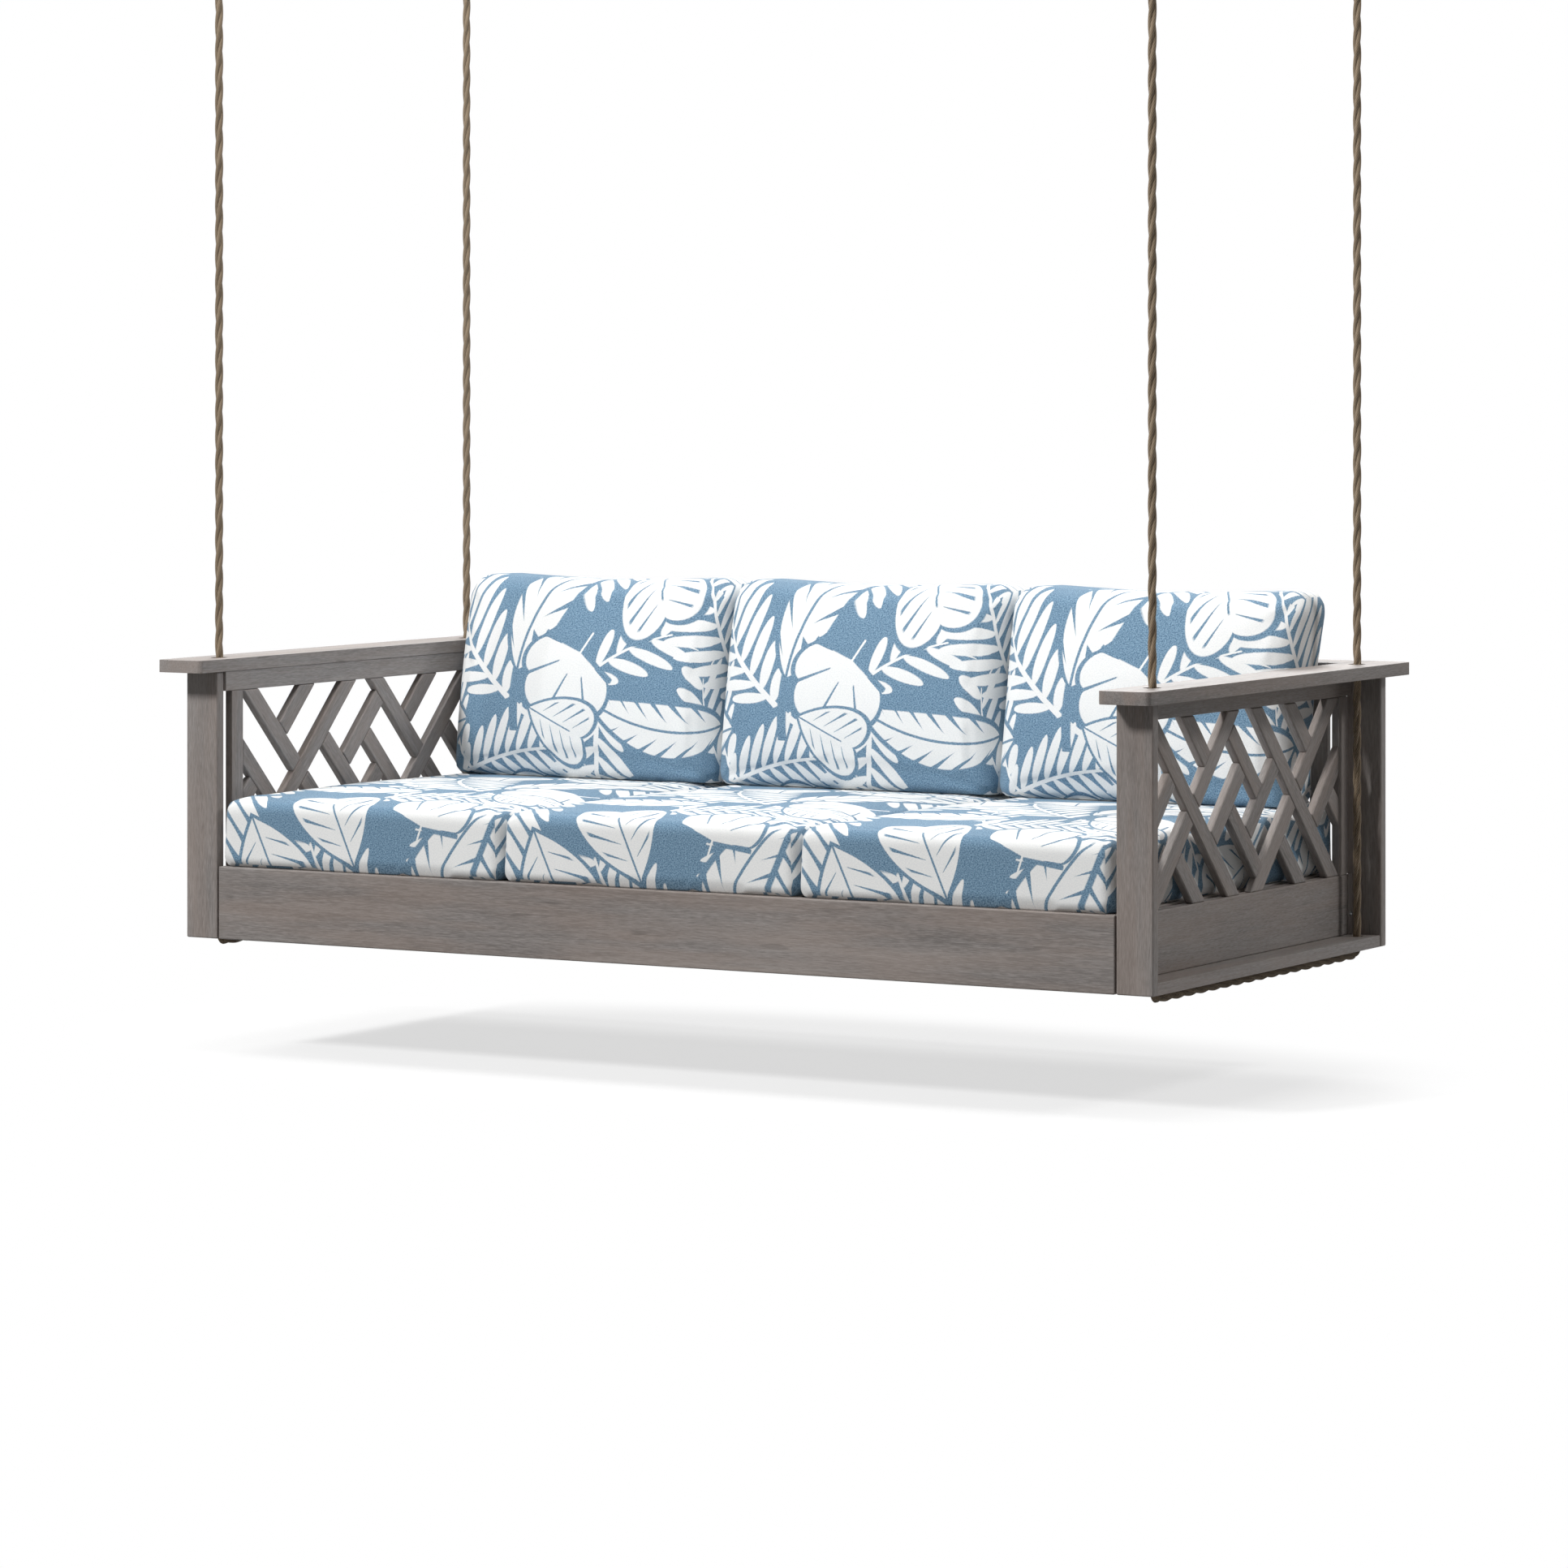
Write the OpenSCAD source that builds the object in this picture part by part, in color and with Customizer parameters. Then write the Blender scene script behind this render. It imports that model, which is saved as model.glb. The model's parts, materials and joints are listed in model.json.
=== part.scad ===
// Hanging swing bed: a plank daybed on four rope falls, with lattice arms and
// back, three seat cushions and three back cushions. Millimetres.
// +Z is up, +X is to the right of someone who looks at the open front, and the
// seat opens towards -Y. The origin is on the ceiling, midway between the four
// hangers. The bed's own height is counted up from the feet of its posts.

/* [Overall] */
// Width over the corner posts
frame_w = 2080; // [1900:10:2300]
// Depth over the corner posts
frame_d = 1006; // [940:2:1080]
// Ceiling down to the feet of the posts
drop = 2160; // [2000:10:2800]

/* [Corner posts] */
// Width of a post, seen from the front
post_w = 72; // [60:1:90]
// Thickness of a post, front to back
post_t = 23; // [18:0.5:30]
// Height of a post
post_h = 515; // [480:5:600]

/* [Rails and aprons] */
// Height of the front and rear rails
rail_h = 140; // [120:1:160]
// Open joint between a rail's end and the post
rail_gap = 3; // [1:0.5:6]
// Thickness of the ledge boards that lie flat at both ends
ledge_t = 22; // [18:0.5:28]
// Width of a ledge board
ledge_w = 101; // [90:1:120]
// How far a ledge board's outer edge stays behind the post's edge
ledge_back = 2; // [0:0.5:5]
// How far the apron's face stands back from the post's edge
apron_back = 60; // [50:1:66]
// Height of the side aprons and of the inner boards
apron_h = 115; // [105:1:130]
// Thickness of the side aprons
apron_t = 23; // [20:0.5:28]
// Thickness of the inner boards behind the rails
inner_t = 20; // [16:0.5:24]

/* [Armrests and cap] */
// Width of the armrests and of the back cap
arm_w = 102; // [92:1:110]
// Thickness of the armrests and of the back cap
arm_t = 24; // [20:0.5:32]
// Overhang of an armrest past the outer side of the posts
arm_over_x = 24; // [10:1:30]
// Overhang of an armrest past the posts, front and rear
arm_over_y = 62.5; // [30:0.5:80]
// Diameter of the rope holes in the armrests
arm_hole_d = 33; // [30:0.5:38]
// Diameter of the rope holes in the ledge boards
ledge_hole_d = 22; // [19:0.5:25]

/* [Lattice] */
// Width of the lattice stock
lat_w = 37.5; // [30:0.5:44]
// Thickness of the lattice stock
lat_t = 16; // [12:0.5:20]
// How far the panels' outer face stands behind the apron's face
lat_recess = 1; // [0:0.5:4]
// Pitch of the slats along the panel
lat_pitch = 146; // [130:1:165]
// Sideways shift of the arm pattern
lat_shift = 7; // [-20:1:20]
// Open joint where one slat butts another
lat_joint = 0.4; // [0.2:0.1:0.9]
// Corner of a panel that is left without a slat
lat_corner = 120; // [100:5:150]
// Shortest piece of slat that is fitted
lat_short = 45; // [30:1:60]
// Height of the panels' top rails
top_rail_h = 38; // [30:1:44]
// Gap between the arm panels' stiles and the posts
stile_gap = 20; // [0:1:30]
// Gap between the back panel's end stiles and the arm panels
back_gap = 26; // [5:1:40]

/* [Seat deck] */
// Number of seat slats
slat_n = 14; // [10:1:17]
// Width of a seat slat
slat_w = 90; // [60:1:100]
// Thickness of a seat slat
slat_t = 19; // [15:0.5:25]
// Height of the ledgers that carry the slats
ledger_h = 38; // [25:1:45]
// Thickness of the ledgers
ledger_t = 19; // [15:0.5:30]
// Height of the centre beam
beam_h = 90; // [60:1:95]
// Thickness of the centre beam
beam_t = 38; // [30:1:60]

/* [Cushions] */
// Clearance between the outer seat cushions and the arm panels
seat_side = 5.5; // [4:0.5:30]
// Clearance between the seat cushions and the back panel
seat_rear = 5; // [1:1:40]
// Height of a seat cushion at its edges
seat_h = 131; // [110:1:150]
// Rise of a seat cushion's top over its edges
seat_crown = 15; // [5:1:25]
// How far the seat cushions stand behind the rail's face
seat_back = 1; // [0:1:10]
// Gap between two seat cushions
seat_gap = 4; // [3:0.5:30]
// Shift of the seat cushions to the right
seat_shift = -2; // [-3:1:4]
// Rounding of a seat cushion's upper edges
seat_r = 20; // [12:1:32]
// Rounding of a seat cushion's lower edges
seat_foot_r = 8; // [5:1:20]
// Radius of a seat cushion's corners, seen from above
seat_corner = 15; // [10:1:40]
// How much wider a seat cushion's foot stands than its top, on each side
seat_flare = 4; // [0:0.5:8]
// How far a seat cushion's sides are drawn in between its corners
seat_pinch = 3; // [0:0.5:9]
// Clearance between the outer back cushions and the arm panels
back_side = 21.5; // [10:0.5:40]
// Height of a back cushion
back_h = 406; // [360:1:440]
// Thickness of a back cushion at its edges
back_t = 150; // [120:1:160]
// Rise of a back cushion's front over its edges
back_crown = 24; // [10:1:35]
// Lean of the back cushions, degrees
back_lean = 11; // [6:0.5:14]
// Gap between two back cushions
bolster_gap = 1; // [1:0.5:30]
// Shift of the back cushions to the right
back_shift = 0; // [-10:1:10]
// How far a back cushion's front swells forward halfway up
back_belly = 28; // [0:1:30]
// Rounding of a back cushion's ends
back_end_r = 45; // [30:1:56]
// Rounding of a back cushion's upper edges
back_r = 34; // [20:1:45]
// Rounding of a back cushion's lower edges
back_foot_r = 14; // [8:1:30]
// Radius of a back cushion's upper corners, seen from the front
back_corner = 42; // [20:1:50]
// How far a back cushion's sides swell between its long edges
back_bulge = 2; // [0:0.5:4]
// How far a back cushion's sides and top are drawn in between its corners
back_pinch = 8; // [0:0.5:10]

/* [Rope] */
// Diameter of the rope
rope_d = 16; // [12:0.5:18]
// Rope behind the post's outer edge
rope_in_x = 32; // [30:0.5:36]
// Rope behind the post's inner face
rope_in_y = 40; // [32:1:60]
// Inside radius of the rope's bends under the ledges
bend_in = 12; // [10:0.5:14]
// Clear height between the rope's run and the ledge's underside
run_gap = 4; // [2:0.5:5]
// Length of the splice under an eye
splice_l = 130; // [90:5:180]
// Largest diameter of the splice
splice_d = 24; // [20:0.5:28]

/* [Ceiling hangers] */
// Diameter of a hanger's stud
stud_d = 12; // [8:1:16]
// Length of a hanger's stud above the ceiling
stud_l = 80; // [50:5:120]
// Diameter of a hanger's flange
flange_d = 64; // [56:1:90]
// Thickness of a hanger's flange
flange_t = 6; // [4:0.5:10]
// Thickness of a hanger's ears
ear_t = 6; // [5:0.5:10]
// Half the width of an ear, and its rounding
ear_r = 15; // [12:0.5:16]
// Ceiling down to the swing pin
pin_drop = 34; // [30:1:50]
// Diameter of the swing pin and of the shackle's pin
pin_d = 10; // [8:0.5:11]
// Radial running clearance round a pin
pin_clear = 0.08; // [0.03:0.01:0.1]
// Thickness of a pin's head
head_t = 4; // [3:0.5:6]
// Diameter of a pin's head
head_d = 17; // [15:0.5:19]
// Width of a swing link's upper eye
link_w = 14; // [10:0.5:18]
// Radius of a swing link's upper eye
link_r = 14; // [12:0.5:15]
// Radius of a swing link's lower eye
link_low_r = 12; // [10:0.5:13]
// Swing pin down to the shackle's pin
link_l = 34; // [32:0.5:45]
// Diameter of the shackle's rod
bow_d = 10; // [8:0.5:12]
// Radius of the shackle's ears
bow_ear_r = 10; // [8:0.5:12]
// Width of the shackle's ears along its pin
bow_ear_w = 12; // [11:0.5:14]
// Inside width of the shackle
bow_in = 26; // [24:0.5:32]
// Radius of the shackle's corners
bow_r = 9; // [7:0.5:10]
// Shackle's pin down to the middle of its lower rod
bow_l = 42; // [40:1:60]
// Side play between two neighbours on a pin
side_play = 0.5; // [0.3:0.1:1]
// Inside radius of a thimble
thimble_r = 14; // [10:0.5:18]
// Wall of a thimble under the rope
thimble_t = 5; // [3:0.5:6]
// Width of a thimble
thimble_w = 17; // [13:0.5:18]

/* [Screws] */
// Diameter of a screw's head
screw_head_d = 9; // [6:0.5:12]
// Height of a screw's head
screw_head_t = 2.5; // [1.5:0.5:4]
// Diameter of a screw's shank
screw_d = 4; // [3:0.5:5]
// Length of a screw's shank
screw_l = 50; // [40:1:60]
// Clearance of a screw's pilot hole, on the diameter
screw_clear = 0.2; // [0.1:0.1:0.6]
// Height of the screws over the ledge
screw_z = 39; // [20:1:60]

/* [Hidden] */

$fn = 64;

wood = [0.44, 0.41, 0.39];
wood_dark = [0.38, 0.36, 0.34];
cloth = [0.55, 0.68, 0.80];
hemp = [0.66, 0.56, 0.42];
zinc = [0.72, 0.73, 0.74];

// soft pieces rest this far from what carries them
soft_gap = 0.3;
// cuts run past the faces by this much
over = 1;

// post faces
half_w = frame_w / 2;
half_d = frame_d / 2;
post_in_x = half_w - post_w;
post_in_y = half_d - post_t;

// ledges and aprons
ledge_out = half_w - ledge_back;
ledge_in = ledge_out - ledge_w;
apron_out = half_w - apron_back;
apron_in = apron_out - apron_t;
apron_top = ledge_t + apron_h;
apron_end = post_in_y - inner_t;

// armrests and cap
arm_top = post_h + arm_t;
arm_out = half_w + arm_over_x;
arm_in = arm_out - arm_w;
arm_end = half_d + arm_over_y;
cap_front = arm_end - arm_w;

// rope lines: the pivot is where a fall enters the armrest
rope_r = rope_d / 2;
rope_x = half_w - rope_in_x;
rope_y = post_in_y - rope_in_y;
pivot_z = post_h + arm_t / 2;
run_z = -rope_r - run_gap;
bend_r = bend_in + rope_r;

// lattice openings: low and high across, low and high up
slat_q = lat_w / sqrt(2);
lat_out = apron_out - lat_recess;
lat_in = lat_out - lat_t;
arm_stile = post_in_y - stile_gap;
arm_half = arm_stile - lat_w;
open_lo = apron_top;
open_hi = post_h - top_rail_h;
open_mid = (open_lo + open_hi) / 2;
back_stile = lat_in - back_gap;
back_half = back_stile - lat_w;
back_mid = lat_w / 2;

// the seat's top of wood
deck_z = rail_h;
seat_z = deck_z + soft_gap;
back_z = seat_z + seat_h + soft_gap;

// three cushions share the width between the arm panels, and the seat cushions
// reach from the front rail to the back panel
seat_w = (2 * lat_in - 2 * seat_side - 2 * seat_gap) / 3;
back_w = (2 * lat_in - 2 * back_side - 2 * bolster_gap) / 3;
seat_front = -half_d + seat_back;
seat_d = apron_end - seat_rear - seat_front;

// hanger pins, eyes and thimble, counted down from the ceiling
pin_r = pin_d / 2;
pin_z = -pin_drop;
sway_z = pin_z - link_l;
bow_rod = bow_d / 2;
bow_half = bow_in / 2 + bow_rod;
bow_z = sway_z - bow_l;
ring_z = bow_z + bow_rod - thimble_r;
groove_r = thimble_r + thimble_t;
eye_r = groove_r + rope_r;
fall_top = ring_z - eye_r - splice_l;
fall_foot = pivot_z - drop + rope_r;

// ---- shared shapes ----

module in_bed() {
    translate([0, 0, -drop]) children();
}

module at_corner(sx, sy) {
    translate([sx * rope_x, sy * rope_y, 0]) children();
}

// a board between two opposite corners
module board(lo, hi) {
    translate(lo) cube(hi - lo);
}

// a board at one side, mirrored for the other: sx is -1 or 1
module side_board(sx, x0, x1, y0, y1, z0, z1) {
    lo = min(sx * x0, sx * x1);
    hi = max(sx * x0, sx * x1);
    board([lo, y0, z0], [hi, y1, z1]);
}

module end_board(sy, x0, x1, y0, y1, z0, z1) {
    lo = min(sy * y0, sy * y1);
    hi = max(sy * y0, sy * y1);
    board([x0, lo, z0], [x1, hi, z1]);
}

// ---- frame ----

module rail(sy) {
    x = post_in_x - rail_gap;
    color(wood) in_bed() end_board(sy, -x, x, post_in_y, half_d, 0, rail_h);
}

module inner_board(sy) {
    color(wood_dark) in_bed() difference() {
        end_board(sy, -apron_in, apron_in, apron_end, post_in_y, ledge_t, apron_top);
        for (sx = [-1, 1]) screw_line(sx, sy) pilot();
    }
}

module side_apron(sx) {
    color(wood) in_bed()
        side_board(sx, apron_in, apron_out, -apron_end, apron_end, ledge_t, apron_top);
}

module ledge_board(sx) {
    color(wood) in_bed() difference() {
        side_board(sx, ledge_in, ledge_out, -post_in_y, post_in_y, 0, ledge_t);
        for (sy = [-1, 1]) translate([sx * rope_x, sy * rope_y, -over])
            cylinder(d = ledge_hole_d, h = ledge_t + 2 * over);
    }
}

// short strips that close the apron's corners, with a pilot hole each
module corner_cleats() {
    color(wood) in_bed() for (sx = [-1, 1], sy = [-1, 1]) difference() {
        board([min(sx * apron_in, sx * apron_out), min(sy * apron_end, sy * post_in_y), ledge_t],
            [max(sx * apron_in, sx * apron_out), max(sy * apron_end, sy * post_in_y), apron_top]);
        screw_line(sx, sy) pilot();
    }
}

// from a corner's face, local +Z runs inwards along the screw
module screw_line(sx, sy) {
    y = sy * (apron_end + post_in_y) / 2;
    translate([sx * apron_out, y, ledge_t + screw_z]) rotate([0, -sx * 90, 0]) children();
}

module pilot() {
    translate([0, 0, -over]) cylinder(d = screw_d + screw_clear, h = screw_l + 2 * over);
}

module frame_screws() {
    color(zinc) in_bed() for (sx = [-1, 1], sy = [-1, 1]) screw_line(sx, sy) {
        translate([0, 0, -screw_head_t]) cylinder(d = screw_head_d, h = screw_head_t);
        cylinder(d = screw_d, h = screw_l);
    }
}

module post(sx, sy) {
    color(wood) in_bed()
        board([min(sx * post_in_x, sx * half_w), min(sy * post_in_y, sy * half_d), 0],
            [max(sx * post_in_x, sx * half_w), max(sy * post_in_y, sy * half_d), post_h]);
}

module armrest(sx) {
    color(wood) in_bed() difference() {
        side_board(sx, arm_in, arm_out, -arm_end, arm_end, post_h, arm_top);
        for (sy = [-1, 1]) translate([sx * rope_x, sy * rope_y, post_h - over])
            cylinder(d = arm_hole_d, h = arm_t + 2 * over);
    }
}

module back_cap() {
    color(wood) in_bed() board([-arm_in, cap_front, post_h], [arm_in, arm_end, arm_top]);
}

// ---- lattice ----
// In a panel, a runs across and b runs up. Falling slats keep a + b constant
// and rising slats keep a - b constant. Lines are numbered; every third line
// of each direction is whole and the ones between are two pitches long.

function fall_line(ac, k) = ac + open_mid + lat_pitch * (k - 3.5);
function rise_line(ac, m) = ac - open_mid - lat_pitch * (m - 3.5);

function k_lo(a0, ac) = ceil(3.5 + (a0 + open_lo + lat_corner - ac - open_mid) / lat_pitch);
function k_hi(a1, ac) = floor(3.5 + (a1 + open_hi - lat_corner - ac - open_mid) / lat_pitch);
function m_hi(a0, ac) = floor(3.5 + (ac - open_mid - a0 + open_hi - lat_corner) / lat_pitch);
function m_lo(a1, ac) = ceil(3.5 + (ac - open_mid - a1 + open_lo + lat_corner) / lat_pitch);

function mod3(n) = n - 3 * floor(n / 3);
half_cut = slat_q + lat_joint;

// the two lines a piece of falling slat k stops at, for the group j
function fall_ends(k, j) = mod3(k) == 0 ? [3 * j + 1, 3 * j - 1]
    : mod3(k) == 1 ? [3 * j + 2, 3 * j] : [3 * j + 2, 3 * j - 1];
// the two lines a piece of rising slat m stops at
function rise_ends(m, j) = mod3(m) == 0 ? [3 * j, 3 * j + 2]
    : mod3(m) == 1 ? [3 * j + 2, 3 * j + 4] : [3 * j + 2, 3 * j + 5];

module strip(q0, q1, p0, p1) {
    polygon([for (c = [[q0, p0], [q1, p0], [q1, p1], [q0, p1]]) [(c[0] + c[1]) / 2, (c[0] - c[1]) / 2]]);
}

module fitted(a0, a1) {
    intersection() {
        children();
        translate([a0, open_lo]) square([a1 - a0, open_hi - open_lo]);
    }
}

module falling(a0, a1, ac, t) {
    m0 = m_lo(a1, ac);
    m1 = m_hi(a0, ac);
    for (k = [k_lo(a0, ac) : k_hi(a1, ac)]) {
        s = fall_line(ac, k);
        p_lo = max(2 * a0 - s, s - 2 * open_hi);
        p_hi = min(2 * a1 - s, s - 2 * open_lo);
        far = 2 * lat_pitch;
        if (mod3(k) == 2) linear_extrude(t)
            fitted(a0, a1) strip(s - slat_q, s + slat_q, p_lo - far, p_hi + far);
        else for (j = [-8 : 8]) {
            e = fall_ends(k, j);
            p0 = e[0] > m1 ? p_lo - far : rise_line(ac, e[0]) + half_cut;
            p1 = e[1] < m0 ? p_hi + far : rise_line(ac, e[1]) - half_cut;
            if (e[0] >= m0 && e[1] <= m1 && p1 - max(p0, p_lo) > lat_short && min(p1, p_hi) - p0 > lat_short)
                linear_extrude(t) fitted(a0, a1) strip(s - slat_q, s + slat_q, p0, p1);
        }
    }
}

module rising(a0, a1, ac, t) {
    k0 = k_lo(a0, ac);
    k1 = k_hi(a1, ac);
    for (m = [m_lo(a1, ac) : m_hi(a0, ac)]) {
        d = rise_line(ac, m);
        q_lo = max(2 * a0 - d, d + 2 * open_lo);
        q_hi = min(2 * a1 - d, d + 2 * open_hi);
        far = 2 * lat_pitch;
        for (j = [-8 : 8]) {
            e = rise_ends(m, j);
            q0 = e[0] < k0 ? q_lo - far : fall_line(ac, e[0]) + half_cut;
            q1 = e[1] > k1 ? q_hi + far : fall_line(ac, e[1]) - half_cut;
            if (e[0] <= k1 && e[1] >= k0 && q1 - max(q0, q_lo) > lat_short && min(q1, q_hi) - q0 > lat_short)
                linear_extrude(t) fitted(a0, a1) strip(q0, q1, d - slat_q, d + slat_q);
        }
    }
}

// an arm's panel: across is Y, the other arm is turned half round
module arm_side(sx) {
    in_bed() rotate([0, 0, sx > 0 ? 0 : 180]) translate([lat_in, 0, 0]) rotate([90, 0, 90]) children();
}

module arm_panel_frame(sx) {
    color(wood_dark) arm_side(sx) {
        translate([-post_in_y, open_hi, 0]) cube([2 * post_in_y, top_rail_h, lat_t]);
        for (s = [-1, 1]) translate([s > 0 ? arm_half : -arm_stile, open_lo, 0])
            cube([lat_w, open_hi - open_lo, lat_t]);
    }
}

module arm_falling(sx) {
    color(wood_dark) arm_side(sx) falling(-arm_half, arm_half, lat_shift, lat_t);
}

module arm_rising(sx) {
    color(wood_dark) arm_side(sx) rising(-arm_half, arm_half, lat_shift, lat_t);
}

// the back's panel: across is X, its front face lines up with the inner board
module back_side() {
    in_bed() translate([0, apron_end + lat_t, 0]) rotate([90, 0, 0]) children();
}

module back_panel_frame() {
    color(wood_dark) back_side() {
        translate([-back_stile, open_hi, 0]) cube([2 * back_stile, top_rail_h, lat_t]);
        for (x = [-back_stile, -back_mid, back_half]) translate([x, open_lo, 0])
            cube([lat_w, open_hi - open_lo, lat_t]);
    }
}

module back_halves() {
    for (s = [-1, 1]) translate([s * (back_mid + back_half) / 2, 0, 0]) children();
}

module back_falling() {
    h = (back_half - back_mid) / 2;
    color(wood_dark) back_side() back_halves() falling(-h, h, lat_shift, lat_t);
}

module back_rising() {
    h = (back_half - back_mid) / 2;
    color(wood_dark) back_side() back_halves() rising(-h, h, lat_shift, lat_t);
}

// ---- seat deck ----

module seat_slats() {
    run = apron_in - slat_w / 2 - rail_gap;
    color(wood) in_bed() for (i = [0 : slat_n - 1]) {
        x = -run + 2 * run * i / (slat_n - 1);
        board([x - slat_w / 2, -apron_end, deck_z - slat_t], [x + slat_w / 2, apron_end, deck_z]);
    }
}

module seat_ledgers() {
    z = deck_z - slat_t;
    color(wood_dark) in_bed() for (sy = [-1, 1])
        end_board(sy, -apron_in, apron_in, apron_end - ledger_t, apron_end, z - ledger_h, z);
}

module centre_beam() {
    z = deck_z - slat_t;
    color(wood_dark) in_bed() board([-apron_in, -beam_t / 2, z - beam_h], [apron_in, beam_t / 2, z]);
}

// ---- cushions ----
// A cushion is a stack of rings between its two broad sides. A ring is a
// rectangle with round corners, drawn in between them.

arc_n = 4;
edge_n = 5;
round_n = 4;
ring_n = 4 * (arc_n + edge_n);

function pad_ring(x, y0, y1, r0, r1, pinch) = let (
    m = [[x - r1, y1 - r1], [r1 - x, y1 - r1], [r0 - x, y0 + r0], [x - r0, y0 + r0]],
    r = [r1, r1, r0, r0])
    [for (c = [0 : 3]) let (n = (c + 1) % 4, v = [cos(90 * c + 90), sin(90 * c + 90)],
        p = m[c] + r[c] * v, q = m[n] + r[n] * v)
        each concat(
            [for (i = [0 : arc_n - 1]) let (b = 90 * (c + i / (arc_n - 1)))
                m[c] + r[c] * [cos(b), sin(b)]],
            [for (i = [1 : edge_n]) let (t = i / (edge_n + 1))
                p + (q - p) * t - v * (pinch[c == 2 ? 0 : 1] * sin(180 * t))])];

// how far a round edge has drawn in, t over the broad side that it meets
function inset(t, r) = t >= r ? 0 : r - sqrt(r * r - (r - t) * (r - t));

// how far the crown has risen: u and v run from -1 to 1, peak where v is c
function bump(u, v, c) = (1 - pow(abs(u), 3)) * (v > c ? max(0, cos(90 * (v - c) / (0.55 - c)))
    : max(0, cos(90 * (c - v) / (1 + c))));
function swell(u, v) = (1 - pow(abs(u), 2.5)) * (1 - pow(abs(v), 2.5));

function at_height(ring, z) = [for (p = ring) [p[0], p[1], z]];

// w, d and h are the size. ends, near and far are the radii, below and above, of
// the edges at both ends, at -Y and at +Y; corner is those of the near and far
// corners. pinch is how far the near side and the others are drawn in between their
// corners. bow draws all sides in t of the way up, rise lifts a point at [u, v].
function pad_points(w, d, h, ends, near, far, corner, pinch, bow, rise) = let (
    low = max(ends[0], near[0], far[0]), high = max(ends[1], near[1], far[1]),
    levels = concat([for (i = [0 : round_n]) low * (1 - cos(90 * i / round_n))], [h / 2],
        [for (i = [round_n : -1 : 0]) h - high * (1 - cos(90 * i / round_n))]),
    draw = function (z, r) inset(z, r[0]) + inset(h - z, r[1]),
    cap = function (k, z) at_height(pad_ring(w / 2 * k, -d / 2 * k, d / 2 * k,
        corner[0] * k, corner[1] * k, pinch), z),
    ring = function (z) let (b = bow(z / h), e = draw(z, ends), n = draw(z, near), f = draw(z, far))
        at_height(pad_ring(w / 2 - b - e, n + b - d / 2, d / 2 - b - f,
            max(6, corner[0] - n), max(8, corner[1] - f), pinch), z),
    all = concat([for (k = [0.5, 0.8]) each cap(k, 0)], [for (z = levels) each ring(z)],
        [for (k = [0.8, 0.64, 0.44, 0.22]) each cap(k, h)]),
    lift = function (p) rise(2 * p[0] / w, 2 * p[1] / d, p[2] / h))
    concat([[0, 0, 0]], [for (p = all) p + [0, 0, lift(p)]], [[0, 0, h + lift([0, 0, h])]]);

function pad_faces(n) = let (rows = n / ring_n) concat(
    [for (i = [0 : ring_n - 1]) [0, 1 + i, 1 + (i + 1) % ring_n]],
    [for (r = [0 : rows - 2], i = [0 : ring_n - 1]) let (a = 1 + r * ring_n + i,
        b = 1 + r * ring_n + (i + 1) % ring_n) each [[a, a + ring_n, b], [b, a + ring_n, b + ring_n]]],
    [for (i = [0 : ring_n - 1]) let (o = 1 + (rows - 1) * ring_n) [n + 1, o + (i + 1) % ring_n, o + i]]);

module seat_cushion(i) {
    edge = [seat_foot_r, seat_r];
    pts = pad_points(seat_w, seat_d, seat_h, edge, edge, edge, [seat_corner, seat_corner],
        [seat_pinch, seat_pinch], function (t) t * seat_flare,
        function (u, v, t) t < 0.51 ? 0 : (2 * t - 1) * seat_crown * bump(u, v, -0.22));
    x = seat_shift + i * (seat_w + seat_gap);
    color(cloth) in_bed() translate([x, seat_front + seat_d / 2, seat_z])
        polyhedron(pts, pad_faces(len(pts) - 2), 4);
}

// stands on the seat and leans on the cap: its rings run up, its front is -Y
module back_cushion(i) {
    pts = pad_points(back_w, back_h, back_t, [back_end_r, back_end_r], [back_foot_r, back_foot_r],
        [back_r, back_r], [back_foot_r, back_corner],
        [0, back_pinch], function (t) back_bulge * pow(2 * t - 1, 2),
        function (u, v, t) t * back_belly * (1 - v * v)
            + (t < 0.51 ? 0 : (2 * t - 1) * back_crown * swell(u, v)));
    x = back_shift + i * (back_w + bolster_gap);
    foot = cap_front - soft_gap - (arm_top - back_z) * tan(back_lean);
    tilted = [for (p = pts) let (z = p[1] + back_h / 2) [p[0], -p[2] + z * tan(back_lean), z]];
    color(cloth) in_bed() translate([x, foot, back_z]) polyhedron(tilted, pad_faces(len(pts) - 2), 4);
}

// ---- rope that the frame holds ----
// Down through the armrest, through the ledge, along under it and up again.

module sling_half(sx, sy, capped) {
    top = capped ? pivot_z : pivot_z - rope_r;
    foot = run_z + bend_r;
    translate([sx * rope_x, sy * rope_y, foot]) cylinder(r = rope_r, h = top - foot);
    if (capped) translate([sx * rope_x, sy * rope_y, pivot_z]) sphere(r = rope_r - soft_gap);
    translate([sx * rope_x, sy * (rope_y - bend_r), foot])
        rotate([0, 0, sy * 90]) rotate([90, 0, 0]) rotate([0, 0, -90])
            rotate_extrude(angle = 90) translate([bend_r, 0]) circle(r = rope_r);
}

module sling_rope(sx) {
    y = rope_y - bend_r;
    color(hemp) in_bed() {
        sling_half(sx, -1, true);
        sling_half(sx, 1, sx > 0);
        translate([sx * rope_x, -y, run_z]) rotate([-90, 0, 0]) cylinder(r = rope_r, h = 2 * y);
    }
}

// the bit of the rear left fall that flexes inside the armrest's hole
module rope_knuckle() {
    color(hemp) in_bed() translate([-rope_x, rope_y, pivot_z]) sphere(r = rope_r - soft_gap);
}

// ---- ceiling fittings ----

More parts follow.
